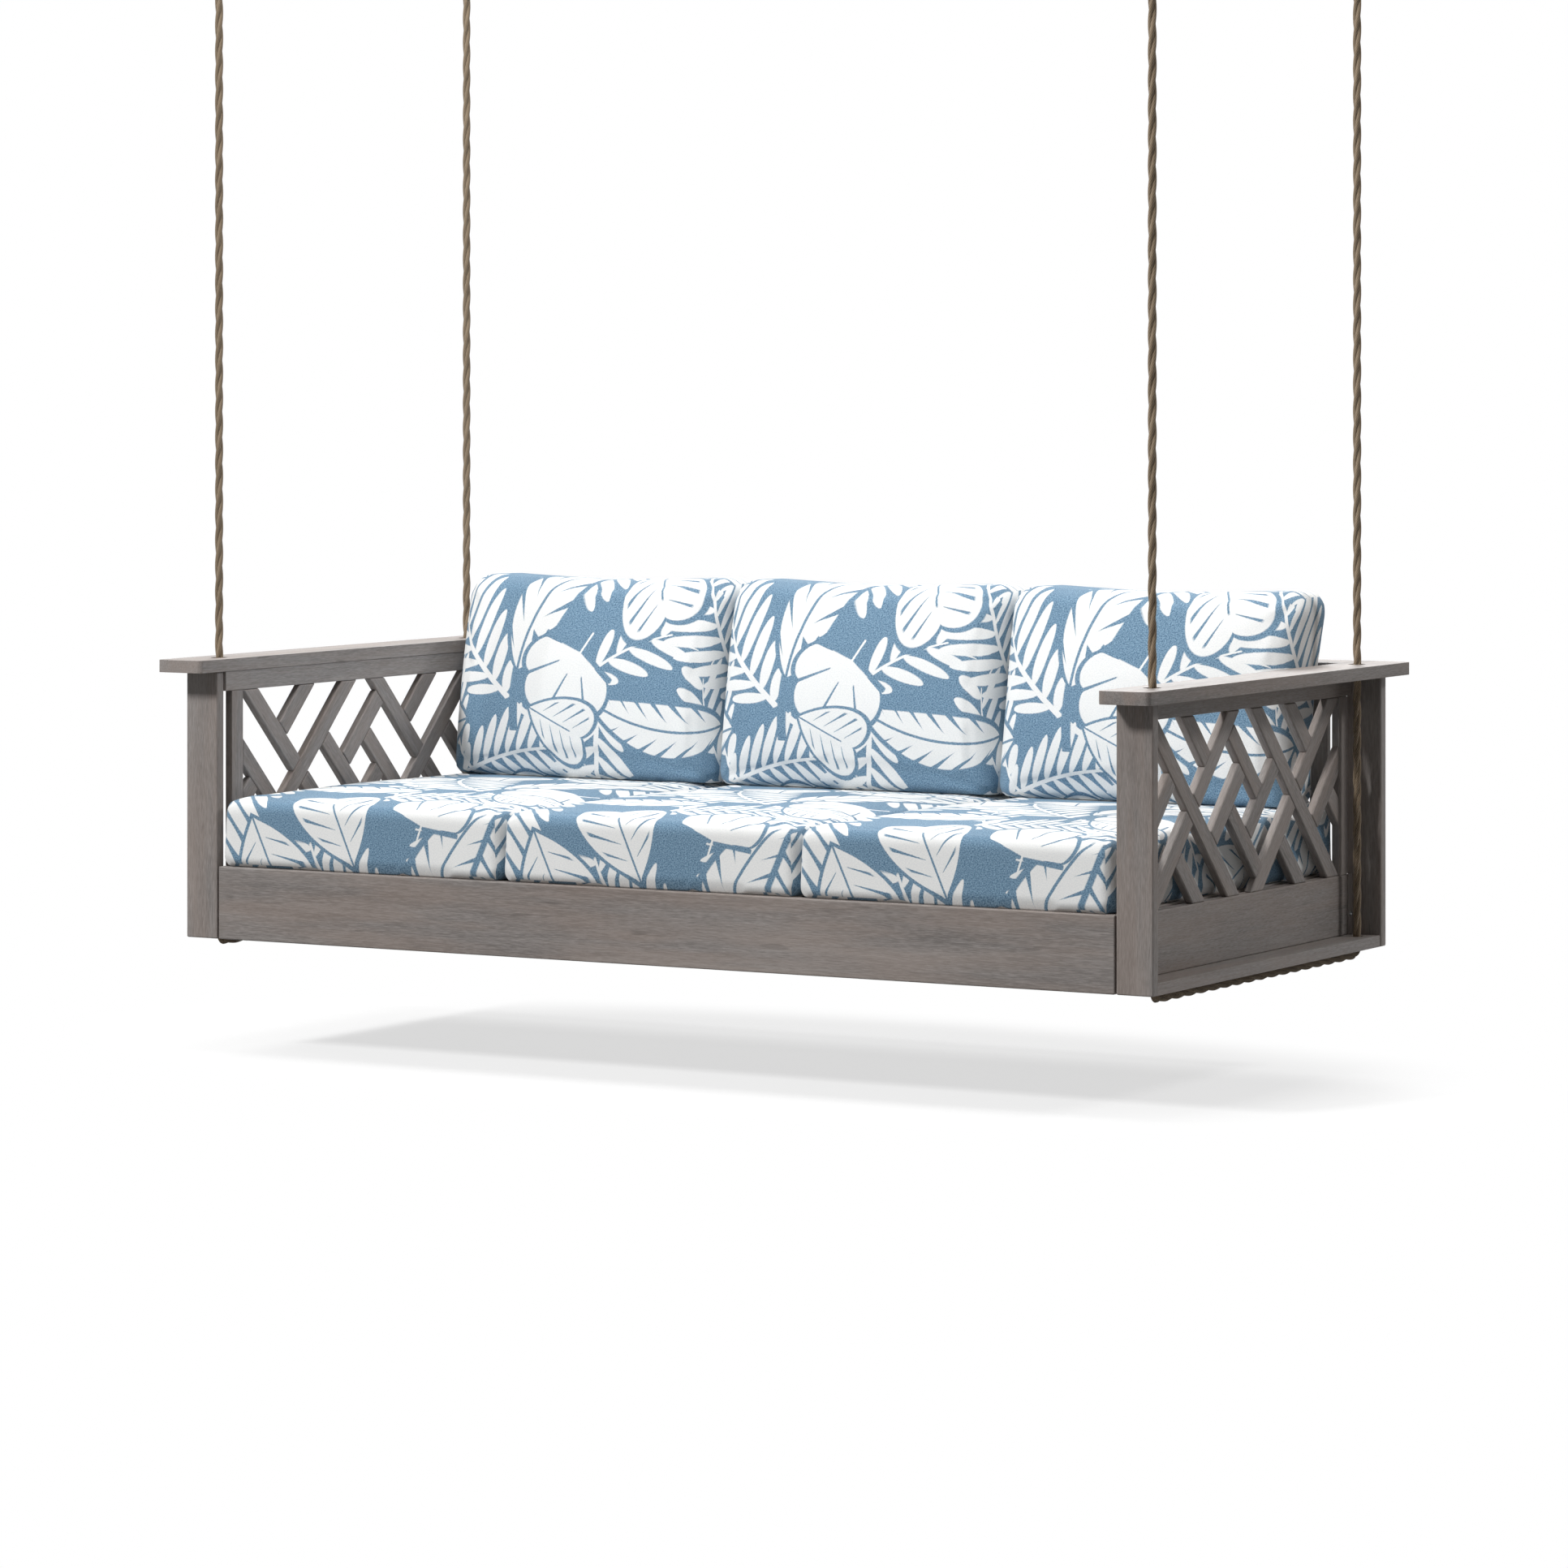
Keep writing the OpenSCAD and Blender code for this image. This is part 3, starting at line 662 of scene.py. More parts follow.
def place(
    name: str,
    mesh: bpy.types.Mesh,
    finish: Finish,
    body: str,
    slot: Slot,
    nodes: Iterable[str] = (),
) -> bpy.types.Object:
    """Shows a finished mesh as a piece.

    Args:
        name: the piece's name.
        mesh: its mesh, in the frame's own place.
        finish: what it is dressed in.
        body: the body that it moves with.
        slot: the record's slot that it takes its finish from.
        nodes: the frame's nodes that it stands for.

    Returns:
        The piece.
    """
    mesh.name = name
    mesh.materials.clear()
    mesh.materials.append(finish.material())
    piece = linked(name, mesh)
    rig.ride(piece, body)
    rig.slot(piece, slot.value)
    if nodes:
        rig.replaces(piece, *nodes)
    log.info("%s: %d faces on %s", name, len(mesh.polygons), body)
    return piece


def read_rows(data: bpy.types.bpy_prop_collection, name: str) -> np.ndarray:
    """A vector property of all the vertices or faces of a mesh, one row each.

    Args:
        data: the mesh's vertices or faces.
        name: the property's name.

    Returns:
        The rows.
    """
    rows = np.zeros(len(data) * 3)
    data.foreach_get(name, rows)
    return rows.reshape(-1, 3)


def coords(mesh: bpy.types.Mesh) -> np.ndarray:
    """The places of a mesh's vertices, one row each."""
    return read_rows(mesh.vertices, "co")


def set_coords(mesh: bpy.types.Mesh, rows: np.ndarray) -> None:
    """Moves a mesh's vertices to new places."""
    mesh.vertices.foreach_set("co", rows.ravel())
    mesh.update()


def set_attribute(
    mesh: bpy.types.Mesh, name: str, kind: str, values: np.ndarray, domain: str = "POINT"
) -> None:
    """Writes a value for each vertex or face corner of a mesh.

    Args:
        mesh: the mesh.
        name: the attribute's name.
        kind: FLOAT or FLOAT_VECTOR.
        values: one row for each vertex or corner.
        domain: POINT or CORNER.
    """
    made = mesh.attributes.get(name) or mesh.attributes.new(name, kind, domain)
    made.data.foreach_set(
        "value" if kind == "FLOAT" else "vector", np.asarray(values, np.float32).ravel()
    )


def shown(host: bpy.types.Object) -> bpy.types.Mesh:
    """A plain mesh of an object with its modifiers, and the object is removed.

    Args:
        host: the object.

    Returns:
        The new mesh.
    """
    view = bpy.context.evaluated_depsgraph_get()
    mesh = bpy.data.meshes.new_from_object(host.evaluated_get(view), depsgraph=view)
    spent = host.data
    bpy.data.objects.remove(host)
    if spent.users == 0:
        bpy.data.meshes.remove(spent)
    return mesh


def worked(mesh: bpy.types.Mesh, *steps: tuple[str, dict]) -> bpy.types.Mesh:
    """A plain mesh of a mesh under modifiers.

    Args:
        mesh: the mesh, which is used up.
        steps: the modifiers in order, each with its type and its properties.

    Returns:
        The new mesh.
    """
    host = linked("work", mesh)
    for kind, settings in steps:
        modifier = host.modifiers.new(kind.lower(), kind)
        for key, value in settings.items():
            setattr(modifier, key, value)
    return shown(host)


def joined(meshes: Sequence[bpy.types.Mesh]) -> bpy.types.Mesh:
    """One mesh of several, with their attributes.

    Args:
        meshes: the meshes, which are used up.

    Returns:
        The new mesh.
    """
    hosts = [linked("work", m) for m in meshes]
    with bpy.context.temp_override(
        active_object=hosts[0], object=hosts[0], selected_editable_objects=hosts
    ):
        bpy.ops.object.join()
    mesh = hosts[0].data
    bpy.data.objects.remove(hosts[0])
    return mesh


def path_mesh(points: Sequence[Point]) -> bpy.types.Mesh:
    """A mesh of bare points, in their order along a path.

    Args:
        points: the points.

    Returns:
        The mesh.
    """
    mesh = bpy.data.meshes.new("path")
    mesh.from_pydata([tuple(p) for p in points], [], [])
    return mesh


@dataclass
class Growth:
    """A Geometry Nodes tree with named inputs, run on a host mesh."""

    name: str
    drawn: Callable[["Growth"], Signal]
    tree: bpy.types.NodeTree = field(init=False)
    graph: Graph = field(init=False)
    entry: bpy.types.Node = field(init=False)

    def __post_init__(self) -> None:
        """Builds the tree: drawn gives its last geometry."""
        self.tree = bpy.data.node_groups.new(self.name, "GeometryNodeTree")
        self.graph = Graph(self.tree)
        for way in ("INPUT", "OUTPUT"):
            self.tree.interface.new_socket(
                "Geometry", in_out=way, socket_type="NodeSocketGeometry"
            )
        self.entry = self.graph.node("NodeGroupInput")
        real = self.graph.take("GeometryNodeRealizeInstances", {0: self.drawn(self)})
        inputs = {0: real, "Material": self.asks("Finish", "Material")}
        dressed = self.graph.take("GeometryNodeSetMaterial", inputs)
        self.graph.node("NodeGroupOutput", {0: dressed})

    @property
    def host(self) -> Signal:
        """The geometry that the tree is run on."""
        return self.graph.read(self.entry)

    def asks(self, name: str, kind: str = "Float") -> Signal:
        """Adds a named input of kind Float, Int, Vector or Material."""
        self.tree.interface.new_socket(name, in_out="INPUT", socket_type="NodeSocket" + kind)
        return self.graph.read(self.entry, name)

    def run(
        self, base: bpy.types.Mesh, finish: Finish, values: dict[str, object]
    ) -> bpy.types.Mesh:
        """Runs the tree on a mesh.

        Args:
            base: the host mesh.
            finish: the material of what it makes.
            values: the other inputs by name.

        Returns:
            The plain mesh that it makes.
        """
        host = linked("work", base)
        modifier = host.modifiers.new(self.name, "NODES")
        modifier.node_group = self.tree
        ids = {i.name: i.identifier for i in self.tree.interface.items_tree if i.in_out == "INPUT"}
        for name, value in {"Finish": finish.material(), **values}.items():
            modifier[ids[name]] = value
        return shown(host)


def draw_laid_rope(growth: Growth) -> Signal:
    """Draws the tree of a laid rope: strands that wind round a path.

    The path lies in a plane, and Side is that plane's normal, from which the
    winding is counted. The rope narrows or widens evenly along the path.

    Args:
        growth: the tree's owner.

    Returns:
        The strands' geometry.
    """
    g = growth.graph
    points = g.take("GeometryNodeMeshToPoints", {"Mesh": growth.host})
    order = {0: points, "Weight": g.take("GeometryNodeInputIndex")}
    line = g.take("GeometryNodePointsToCurves", order)
    steps = {"Curve": line, "Length": growth.asks("Step")}
    even = g.take("GeometryNodeResampleCurve", steps, mode="LENGTH")
    strands = growth.asks("Strands", "Int")
    amount = {"Geometry": even, "Amount": strands}
    copies = g.node("GeometryNodeDuplicateElements", amount, domain="SPLINE")
    spline = g.node("GeometryNodeSplineParameter")
    length, share = g.read(spline, "Length"), g.read(copies, 1) / strands
    angle = (length / growth.asks("Lay") + share) * (2 * math.pi) + growth.asks("Phase")
    side = growth.asks("Side", "Vector")
    across = g.vector("CROSS_PRODUCT", g.take("GeometryNodeInputTangent"), side)
    ends = {3: growth.asks("Start Radius"), 4: growth.asks("End Radius")}
    taper = g.take("ShaderNodeMapRange", {0: g.read(spline, "Factor"), **ends})
    thick = growth.asks("Strand Share")
    out = taper * (1.0 - thick)
    aside = g.vector(
        "ADD", g.scaled(side, out * angle.to("COSINE")), g.scaled(across, out * angle.to("SINE"))
    )
    kept = g.stored(g.read(copies), "along", length + share * 3.0)
    wound = g.take("GeometryNodeSetPosition", {"Geometry": kept, "Offset": aside})
    round_ = {"Resolution": growth.asks("Sides", "Int"), "Radius": 1.0}
    ring = g.take("GeometryNodeCurvePrimitiveCircle", round_)
    marked = g.stored(ring, "around", g.take("GeometryNodeInputPosition"), "FLOAT_VECTOR")
    tube = g.take(
        "GeometryNodeCurveToMesh",
        {"Curve": wound, "Profile Curve": marked, "Scale": taper * thick, "Fill Caps": True},
    )
    return g.take("GeometryNodeSetShadeSmooth", {0: tube})


@dataclass
class LaidRope:
    """The rope of the whole bed: three strands with a right-hand lay."""

    radius: float = 0.008
    lay: float = 0.150
    strand_share: float = 0.535
    sides: int = 12
    step: float = 0.0062
    tree: Growth = field(init=False)

    def __post_init__(self) -> None:
        """Builds the tree that winds the strands."""
        self.tree = Growth("laid_rope", draw_laid_rope)

    def along(
        self,
        points: Sequence[Point],
        side: Point,
        phase: float = 0.0,
        strands: int = 3,
        ends: Pair | None = None,
        share: float | None = None,
        lay: float | None = None,
    ) -> bpy.types.Mesh:
        """Winds rope along a path.

        Args:
            points: the path, which lies in one plane.
            side: the normal of that plane.
            phase: where the first strand starts, in radians from side.
            strands: how many strands.
            ends: the rope's radius at its start and end, if not its own.
            share: a strand's radius as a share of the rope's.
            lay: length of one turn, if not the rope's own.

        Returns:
            The rope's mesh.
        """
        first, last = ends or (self.radius, self.radius)
        return self.tree.run(path_mesh(points), ROPE, {
            "Step": self.step,
            "Strands": strands,
            "Lay": lay or self.lay,
            "Phase": phase,
            "Side": side,
            "Start Radius": first,
            "End Radius": last,
            "Strand Share": share or self.strand_share,
            "Sides": self.sides,
        })

    def phase_after(self, length: float, phase: float) -> float:
        """The winding's angle after a length of rope."""
        return phase + 2 * math.pi * length / self.lay


@dataclass
class StudioCamera:
    """The camera of the photograph: level, with its frame shifted down."""

    location: Point = (5.478, -9.526, -1.026)
    turn: float = 29.88
    lens: float = 131.30
    shift: float = -0.27606
    sensor: float = 36.0

    def make(self) -> None:
        """Makes the camera and sets it as the scene's."""
        lens = bpy.data.cameras.new("studio_camera")
        lens.sensor_fit, lens.sensor_width = "HORIZONTAL", self.sensor
        lens.lens, lens.shift_y = self.lens, self.shift
        camera = linked("studio_camera", lens)
        camera.location = self.location
        camera.rotation_euler = (math.pi / 2, 0, math.radians(self.turn))
        bpy.context.scene.camera = camera


@dataclass(frozen=True)
class FloorFinish(Finish):
    """Pale floor that fades to the plain background and keeps the shadow."""

    title: str = "studio_floor"
    matt: float = 0.33
    lift: float = 0.68
    plain: float = 0.16
    squeeze: Point = (1.0, 1.9, 0.0)
    fade: Pair = (1.0, 1.6)

    def surface(self, graph: Graph) -> Signal:
        """The floor, paler for the rays that show it than for its bounced light.

        Args:
            graph: the material's graph.

        Returns:
            The floor's shader.
        """
        matt, plain = (
            graph.take("ShaderNodeBsdfDiffuse", {"Color": grey(level)})
            for level in (self.matt, self.plain)
        )
        lift, white = (
            graph.take("ShaderNodeEmission", {"Color": grey(1), "Strength": strength})
            for strength in (self.lift, 1.0)
        )
        near = graph.take("ShaderNodeAddShader", {0: matt, 1: lift})
        flat = graph.vector("MULTIPLY", graph.where(), self.squeeze)
        away = graph.take("ShaderNodeVectorMath", {0: flat}, "Value", operation="LENGTH")
        ends = {0: away.between(*self.fade, True), 1: near, 2: white}
        shown_floor = graph.take("ShaderNodeMixShader", ends)
        return graph.take("ShaderNodeMixShader", {0: graph.seen(), 1: plain, 2: shown_floor})


@dataclass(frozen=True)
class Lamp:
    """A square lamp: where it hangs, its side and its power in watts."""

    name: str
    at: Point
    size: float
    power: float

    def make(self, aim: Point) -> None:
        """Hangs the lamp so that it looks at aim.

        Args:
            aim: the point that it looks at.
        """
        light = bpy.data.lights.new(self.name, "AREA")
        light.size, light.energy = self.size, self.power
        lamp = linked(self.name, light)
        lamp.location = self.at
        look = Vector(aim) - Vector(self.at)
        lamp.rotation_euler = look.to_track_quat("-Z", "Y").to_euler()


@dataclass
class Studio:
    """Floor, white surroundings and soft lamps."""

    floor_z: float = -2.385
    floor_radius: float = 14
    ambient: float = 0.09
    aim: Point = (0, 0, -1.85)
    lamps: tuple[Lamp, ...] = (
        Lamp("key_lamp", (-4.4, -10.6, 6.4), 2.0, 1490),
        Lamp("top_lamp", (0.2, -1.0, 3.8), 2.6, 205),
        Lamp("side_lamp", (6.2, 3.4, 3.2), 1.4, 200),
        Lamp("rear_lamp", (-3.6, 8.6, 4.6), 3.0, 600),
    )

    def make(self) -> None:
        """Makes the floor, the world and the lamps."""
        self.make_floor()
        self.make_world()
        for lamp in self.lamps:
            lamp.make(self.aim)

    def make_floor(self) -> None:
        """Makes the floor, which isn't part of the bed."""
        build = bmesh.new()
        bmesh.ops.create_circle(build, cap_ends=True, segments=96, radius=self.floor_radius)
        mesh = meshed(build, "studio_floor")
        mesh.materials.append(FloorFinish().material())
        floor = linked("studio_floor", mesh)
        floor.location.z = self.floor_z
        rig.stage(floor)

    def make_world(self) -> None:
        """White behind the bed, and a plainer light on it."""
        world = bpy.data.worlds.new("studio_world")
        bpy.context.scene.world = world
        graph = cleared(world)
        dim, white = (
            graph.take("ShaderNodeBackground", {"Color": grey(1), "Strength": strength})
            for strength in (self.ambient, 1.0)
        )
        both = graph.take("ShaderNodeMixShader", {0: graph.seen(), 1: dim, 2: white})
        graph.node("ShaderNodeOutputWorld", {"Surface": both})


@dataclass
class RopeWork:
    """Slings under the bed, four falls and the eyes at their tops."""

    rope: LaidRope
    x: float = 1.008
    y: float = 0.440
    pivot_z: float = 0.527
    run_z: float = -0.012
    bend: float = 0.020
    fall_top: float = -0.276
    ring_z: float = -0.119
    eye_r: float = 0.027
    eye_lay: float = 0.085
    eye_gap: float = 6.0
    tucks: int = 6
    tuck_share: float = 0.36
    tuck_turn: float = 0.5
    splice_radii: Pair = (0.0081, 0.012)
    knuckle: float = 0.0152
    phases: dict[Corner, float] = field(default_factory=dict)

    @property
    def throat(self) -> float:
        """The height of the thimbles' throats."""
        return self.ring_z - self.eye_r

    def sling_path(self, side: int) -> list[Point]:
        """The sling's path from the front armrest hole to the rear one.

        Args:
            side: -1 for the left sling, 1 for the right one.

        Returns:
            The path's points.
        """
        low, inner = self.run_z + self.bend, self.y - self.bend
        front = [(-self.y, z) for z in np.linspace(self.pivot_z, low, 14)]
        for a in (math.pi * i / 20 for i in range(1, 11)):
            front.append((-inner - self.bend * math.cos(a), low - self.bend * math.sin(a)))
        under = [(v, self.run_z) for v in np.linspace(-inner, inner, 24)[1:-1]]
        rear = [(-v, z) for v, z in reversed(front)]
        return [(side * self.x, v, z - DROP) for v, z in front + under + rear]

    def make_slings(self) -> None:
        """Makes both slings, and finds the winding's angle at their rear ends."""
        for side, front, rear in ((-1, Corner.FL, Corner.RL), (1, Corner.FR, Corner.RR)):
            path, tag = self.sling_path(side), front.tag[1]
            length = sum(math.dist(a, b) for a, b in zip(path, path[1:]))
            self.phases[front], self.phases[rear] = 0.0, self.rope.phase_after(length, 0.0)
            mesh = self.rope.along(path, (1, 0, 0))
            place(f"sling_{tag}", mesh, ROPE, "bed", Slot.ROPE, [f"sling_rope_{tag}"])

    def make_fall(self, corner: Corner) -> tuple[bpy.types.Object, list[list[float]]]:
        """Makes a fall, from the pivot in the armrest up to its thimble's throat.

        Args:
            corner: the bed's corner.

        Returns:
            The fall and its path.
        """
        x, y = corner.out(self.x, self.y)
        heights = np.linspace(self.pivot_z - DROP, self.throat, 40)
        path = [[x, y, float(z)] for z in heights]
        mesh = self.rope.along(path, (1, 0, 0), self.phases[corner])
        tag = corner.tag
        fall = place(f"fall_{tag}", mesh, ROPE, f"hang_{tag}", Slot.ROPE, [f"rope_fall_{tag}"])
        return fall, path

    def make_eye(self, corner: Corner) -> bpy.types.Object:
        """Makes the tucks of a fall's splice and the eye round its thimble.

        Args:
            corner: the bed's corner.

        Returns:
            The eye with its splice.
        """
        x, y = corner.out(self.x, self.y)
        phase = self.rope.phase_after(self.fall_top - self.pivot_z + DROP, self.phases[corner])
        tucks = self.rope.along(
            [(x, y, z) for z in np.linspace(self.fall_top, self.throat + 0.002, 12)],
            (1, 0, 0), phase + self.tuck_turn, self.tucks, self.splice_radii,
            self.tuck_share, self.eye_lay,
        )
        ring = []
        for a in np.radians(np.linspace(self.eye_gap - 90, 270 - self.eye_gap, 49)):
            ring.append((x + self.eye_r * math.cos(a), y, self.ring_z + self.eye_r * math.sin(a)))
        eye = joined([tucks, self.rope.along(ring, (0, 1, 0), lay=self.eye_lay)])
        tag = corner.tag
        return place(
            f"eye_splice_{tag}", eye, ROPE, f"hang_{tag}", Slot.ROPE, [f"rope_eye_{tag}"]
        )

    def make_knuckle(self) -> None:
        """Makes the short bit of rope that bends in the rear left armrest hole."""
        low = self.pivot_z - DROP - self.knuckle / 2
        path = [(-self.x, self.y, low + self.knuckle * i / 7) for i in range(8)]
        mesh = self.rope.along(path, (1, 0, 0), self.phases[Corner.RL])
        place("rope_bend", mesh, ROPE, "knuckle", Slot.ROPE, ["rope_knuckle"])

    def make(self) -> None:
        self.make_slings()
        self.make_knuckle()
        for corner in Corner:
            fall, path = self.make_fall(corner)
            eye = self.make_eye(corner)
            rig.cord(
                fall,
                exit=path[0],
                length=round(math.dist(path[0], path[-1]), 3),
                diameter=2 * self.rope.radius,
                far_end="fitting",
                stiffness="medium",
                lay="taut",
                path=path,
                with_pieces=[eye],
            )


WELD = 2e-5
FLAT_DEGREES = 0.6
STEEP = 0.9
SHORT = 0.012
CORNER_FACES = 5


def softened(
    source: bpy.types.Mesh,
    width: float,
    segments: int = 3,
    upright: float = 0.0,
    sharp: float = 30.0,
) -> bpy.types.Mesh:
    """A copy of a mesh whose sharp edges are rounded.

    Args:
        source: the mesh, which stays as it is.
        width: how far the rounding reaches from an edge.
        segments: faces across a rounding.
        upright: the rounding of upright edges, where it is larger.
        sharp: the least angle of a sharp edge, in degrees.

    Returns:
        The rounded copy, with a rub attribute that is 1 on the roundings.
    """
    build = bmesh.new()
    build.from_mesh(source)
    bmesh.ops.remove_doubles(build, verts=build.verts, dist=WELD)
    flat = math.radians(FLAT_DEGREES)
    bmesh.ops.dissolve_limit(build, angle_limit=flat, verts=build.verts, edges=build.edges)
    build.normal_update()
    rub = build.verts.layers.float.new("rub")

    def crisp(steep: bool) -> list[bmesh.types.BMEdge]:
        """The sharp edges, or only the long upright ones.

        Args:
            steep: whether only the long upright ones are wanted.

        Returns:
            The edges.
        """
        found = []
        for edge in build.edges:
            if len(edge.link_faces) != 2 or edge.calc_face_angle() < math.radians(sharp):
                continue
            run = edge.verts[1].co - edge.verts[0].co
            if steep and (abs(run.z) < STEEP * run.length or run.length < SHORT):
                continue
            found.append(edge)
        return found

    def rounded(edges: list[bmesh.types.BMEdge], offset: float, across: int) -> dict:
        """Rounds edges, and gives what was made.

        Args:
            edges: the edges.
            offset: how far the rounding reaches from them.
            across: faces across the rounding.

        Returns:
            What was made, with its faces.
        """
        return bmesh.ops.bevel(
            build, geom=edges, offset=offset, segments=across, profile=0.5,
            affect="EDGES", clamp_overlap=True,
        )

    if upright:
        rounded(crisp(True), upright, CORNER_FACES)
        build.normal_update()
    for face in rounded(crisp(False), width, segments)["faces"]:
        for vert in face.verts:
            vert[rub] = 1.0
    for face in build.faces:
        face.smooth = True
    return meshed(build, "softened")


def shaded(mesh: bpy.types.Mesh, sharp: float = 40.0) -> bpy.types.Mesh:
    """Gives a mesh normals that keep its broad faces flat.

    Args:
        mesh: the mesh, which is used up.
        sharp: edges steeper than this stay hard, in degrees.

    Returns:
        The mesh with its own normals.
    """
    mesh.set_sharp_from_angle(angle=math.radians(sharp))
    return worked(mesh, ("WEIGHTED_NORMAL", {"keep_sharp": True, "weight": 80}))


def islands(mesh: bpy.types.Mesh) -> np.ndarray:
    """The number of the separate board that each vertex belongs to.

    Args:
        mesh: the mesh of one or more boards.

    Returns:
        One number for each vertex.
    """
    owner = np.arange(len(mesh.vertices))
    ends = np.zeros(len(mesh.edges) * 2, np.int32)
    mesh.edges.foreach_get("vertices", ends)
    ends = ends.reshape(-1, 2)
    while True:
        low = np.minimum(owner[ends[:, 0]], owner[ends[:, 1]])
        before = owner.copy()
        np.minimum.at(owner, ends[:, 0], low)
        np.minimum.at(owner, ends[:, 1], low)
        owner = owner[owner]
        if (owner == before).all():
            return np.unique(owner, return_inverse=True)[1]


def grained(mesh: bpy.types.Mesh, run: Run, seed: int) -> bpy.types.Mesh:
    """Writes each board's own grain coordinates and tone to its vertices.

    Args:
        mesh: the mesh of one or more boards.
        run: the direction of their grain.
        seed: the seed of their tones and of where their grain starts.

    Returns:
        The same mesh.
    """
    board = islands(mesh)
    random = np.random.default_rng(seed)
    start = random.uniform(-3, 3, (board.max() + 1, 3))
    tone = random.uniform(-0.5, 0.5, board.max() + 1)
    grain = coords(mesh) @ np.array(run.axes).T + start[board]
    set_attribute(mesh, "grain", "FLOAT_VECTOR", grain)
    set_attribute(mesh, "tone", "FLOAT", tone[board])
    return mesh


def board_mesh(low: Sequence[float], high: Sequence[float], rounding: float) -> bpy.types.Mesh:
    """One sawn board with rounded edges.

    Args:
        low: its least corner.
        high: its greatest corner.
        rounding: how far the rounding reaches from an edge.

    Returns:
        Its mesh.
    """
    build = bmesh.new()
    bmesh.ops.create_cube(build, size=1.0)
    for vert in build.verts:
        vert.co = [(a + b) / 2 + c * (b - a) for a, b, c in zip(low, high, vert.co)]
    sawn = meshed(build, "sawn")
    mesh = softened(sawn, rounding, 2)
    bpy.data.meshes.remove(sawn)
    return mesh


def draw_slat_row(growth: Growth) -> Signal:
    """Draws the tree of a row of slats, each with its own tone and grain.

    Args:
        growth: the tree's owner, whose host mesh is the first slat.

    Returns:
        The row's geometry.
    """
    g = growth.graph
    line = {0: growth.asks("Count", "Int"), 3: growth.asks("Pitch", "Vector")}
    row = {0: g.take("GeometryNodeMeshLine", line), 2: growth.host}
    slats = g.take("GeometryNodeInstanceOnPoints", row)
    seed = growth.asks("Seed", "Int")
    tone = g.take("FunctionNodeRandomValue", {2: -0.5, 3: 0.5, 8: seed}, 1, data_type="FLOAT")
    ends = {0: (-3.0, -3.0, -3.0), 1: (3.0, 3.0, 3.0), 8: seed}
    start = g.take("FunctionNodeRandomValue", ends, data_type="FLOAT_VECTOR")
    toned = g.stored(slats, "tone", tone, domain="INSTANCE")
    begun = g.stored(toned, "start", start, "FLOAT_VECTOR", "INSTANCE")
    real = g.take("GeometryNodeRealizeInstances", {0: begun})
    x, y, z = g.parts(g.take("GeometryNodeInputPosition"))
    own = g.take("GeometryNodeInputNamedAttribute", {"Name": "start"}, data_type="FLOAT_VECTOR")
    grain = g.vector("ADD", g.vector_of(X=y, Y=x, Z=z), own)
    return g.stored(real, "grain", grain, "FLOAT_VECTOR")


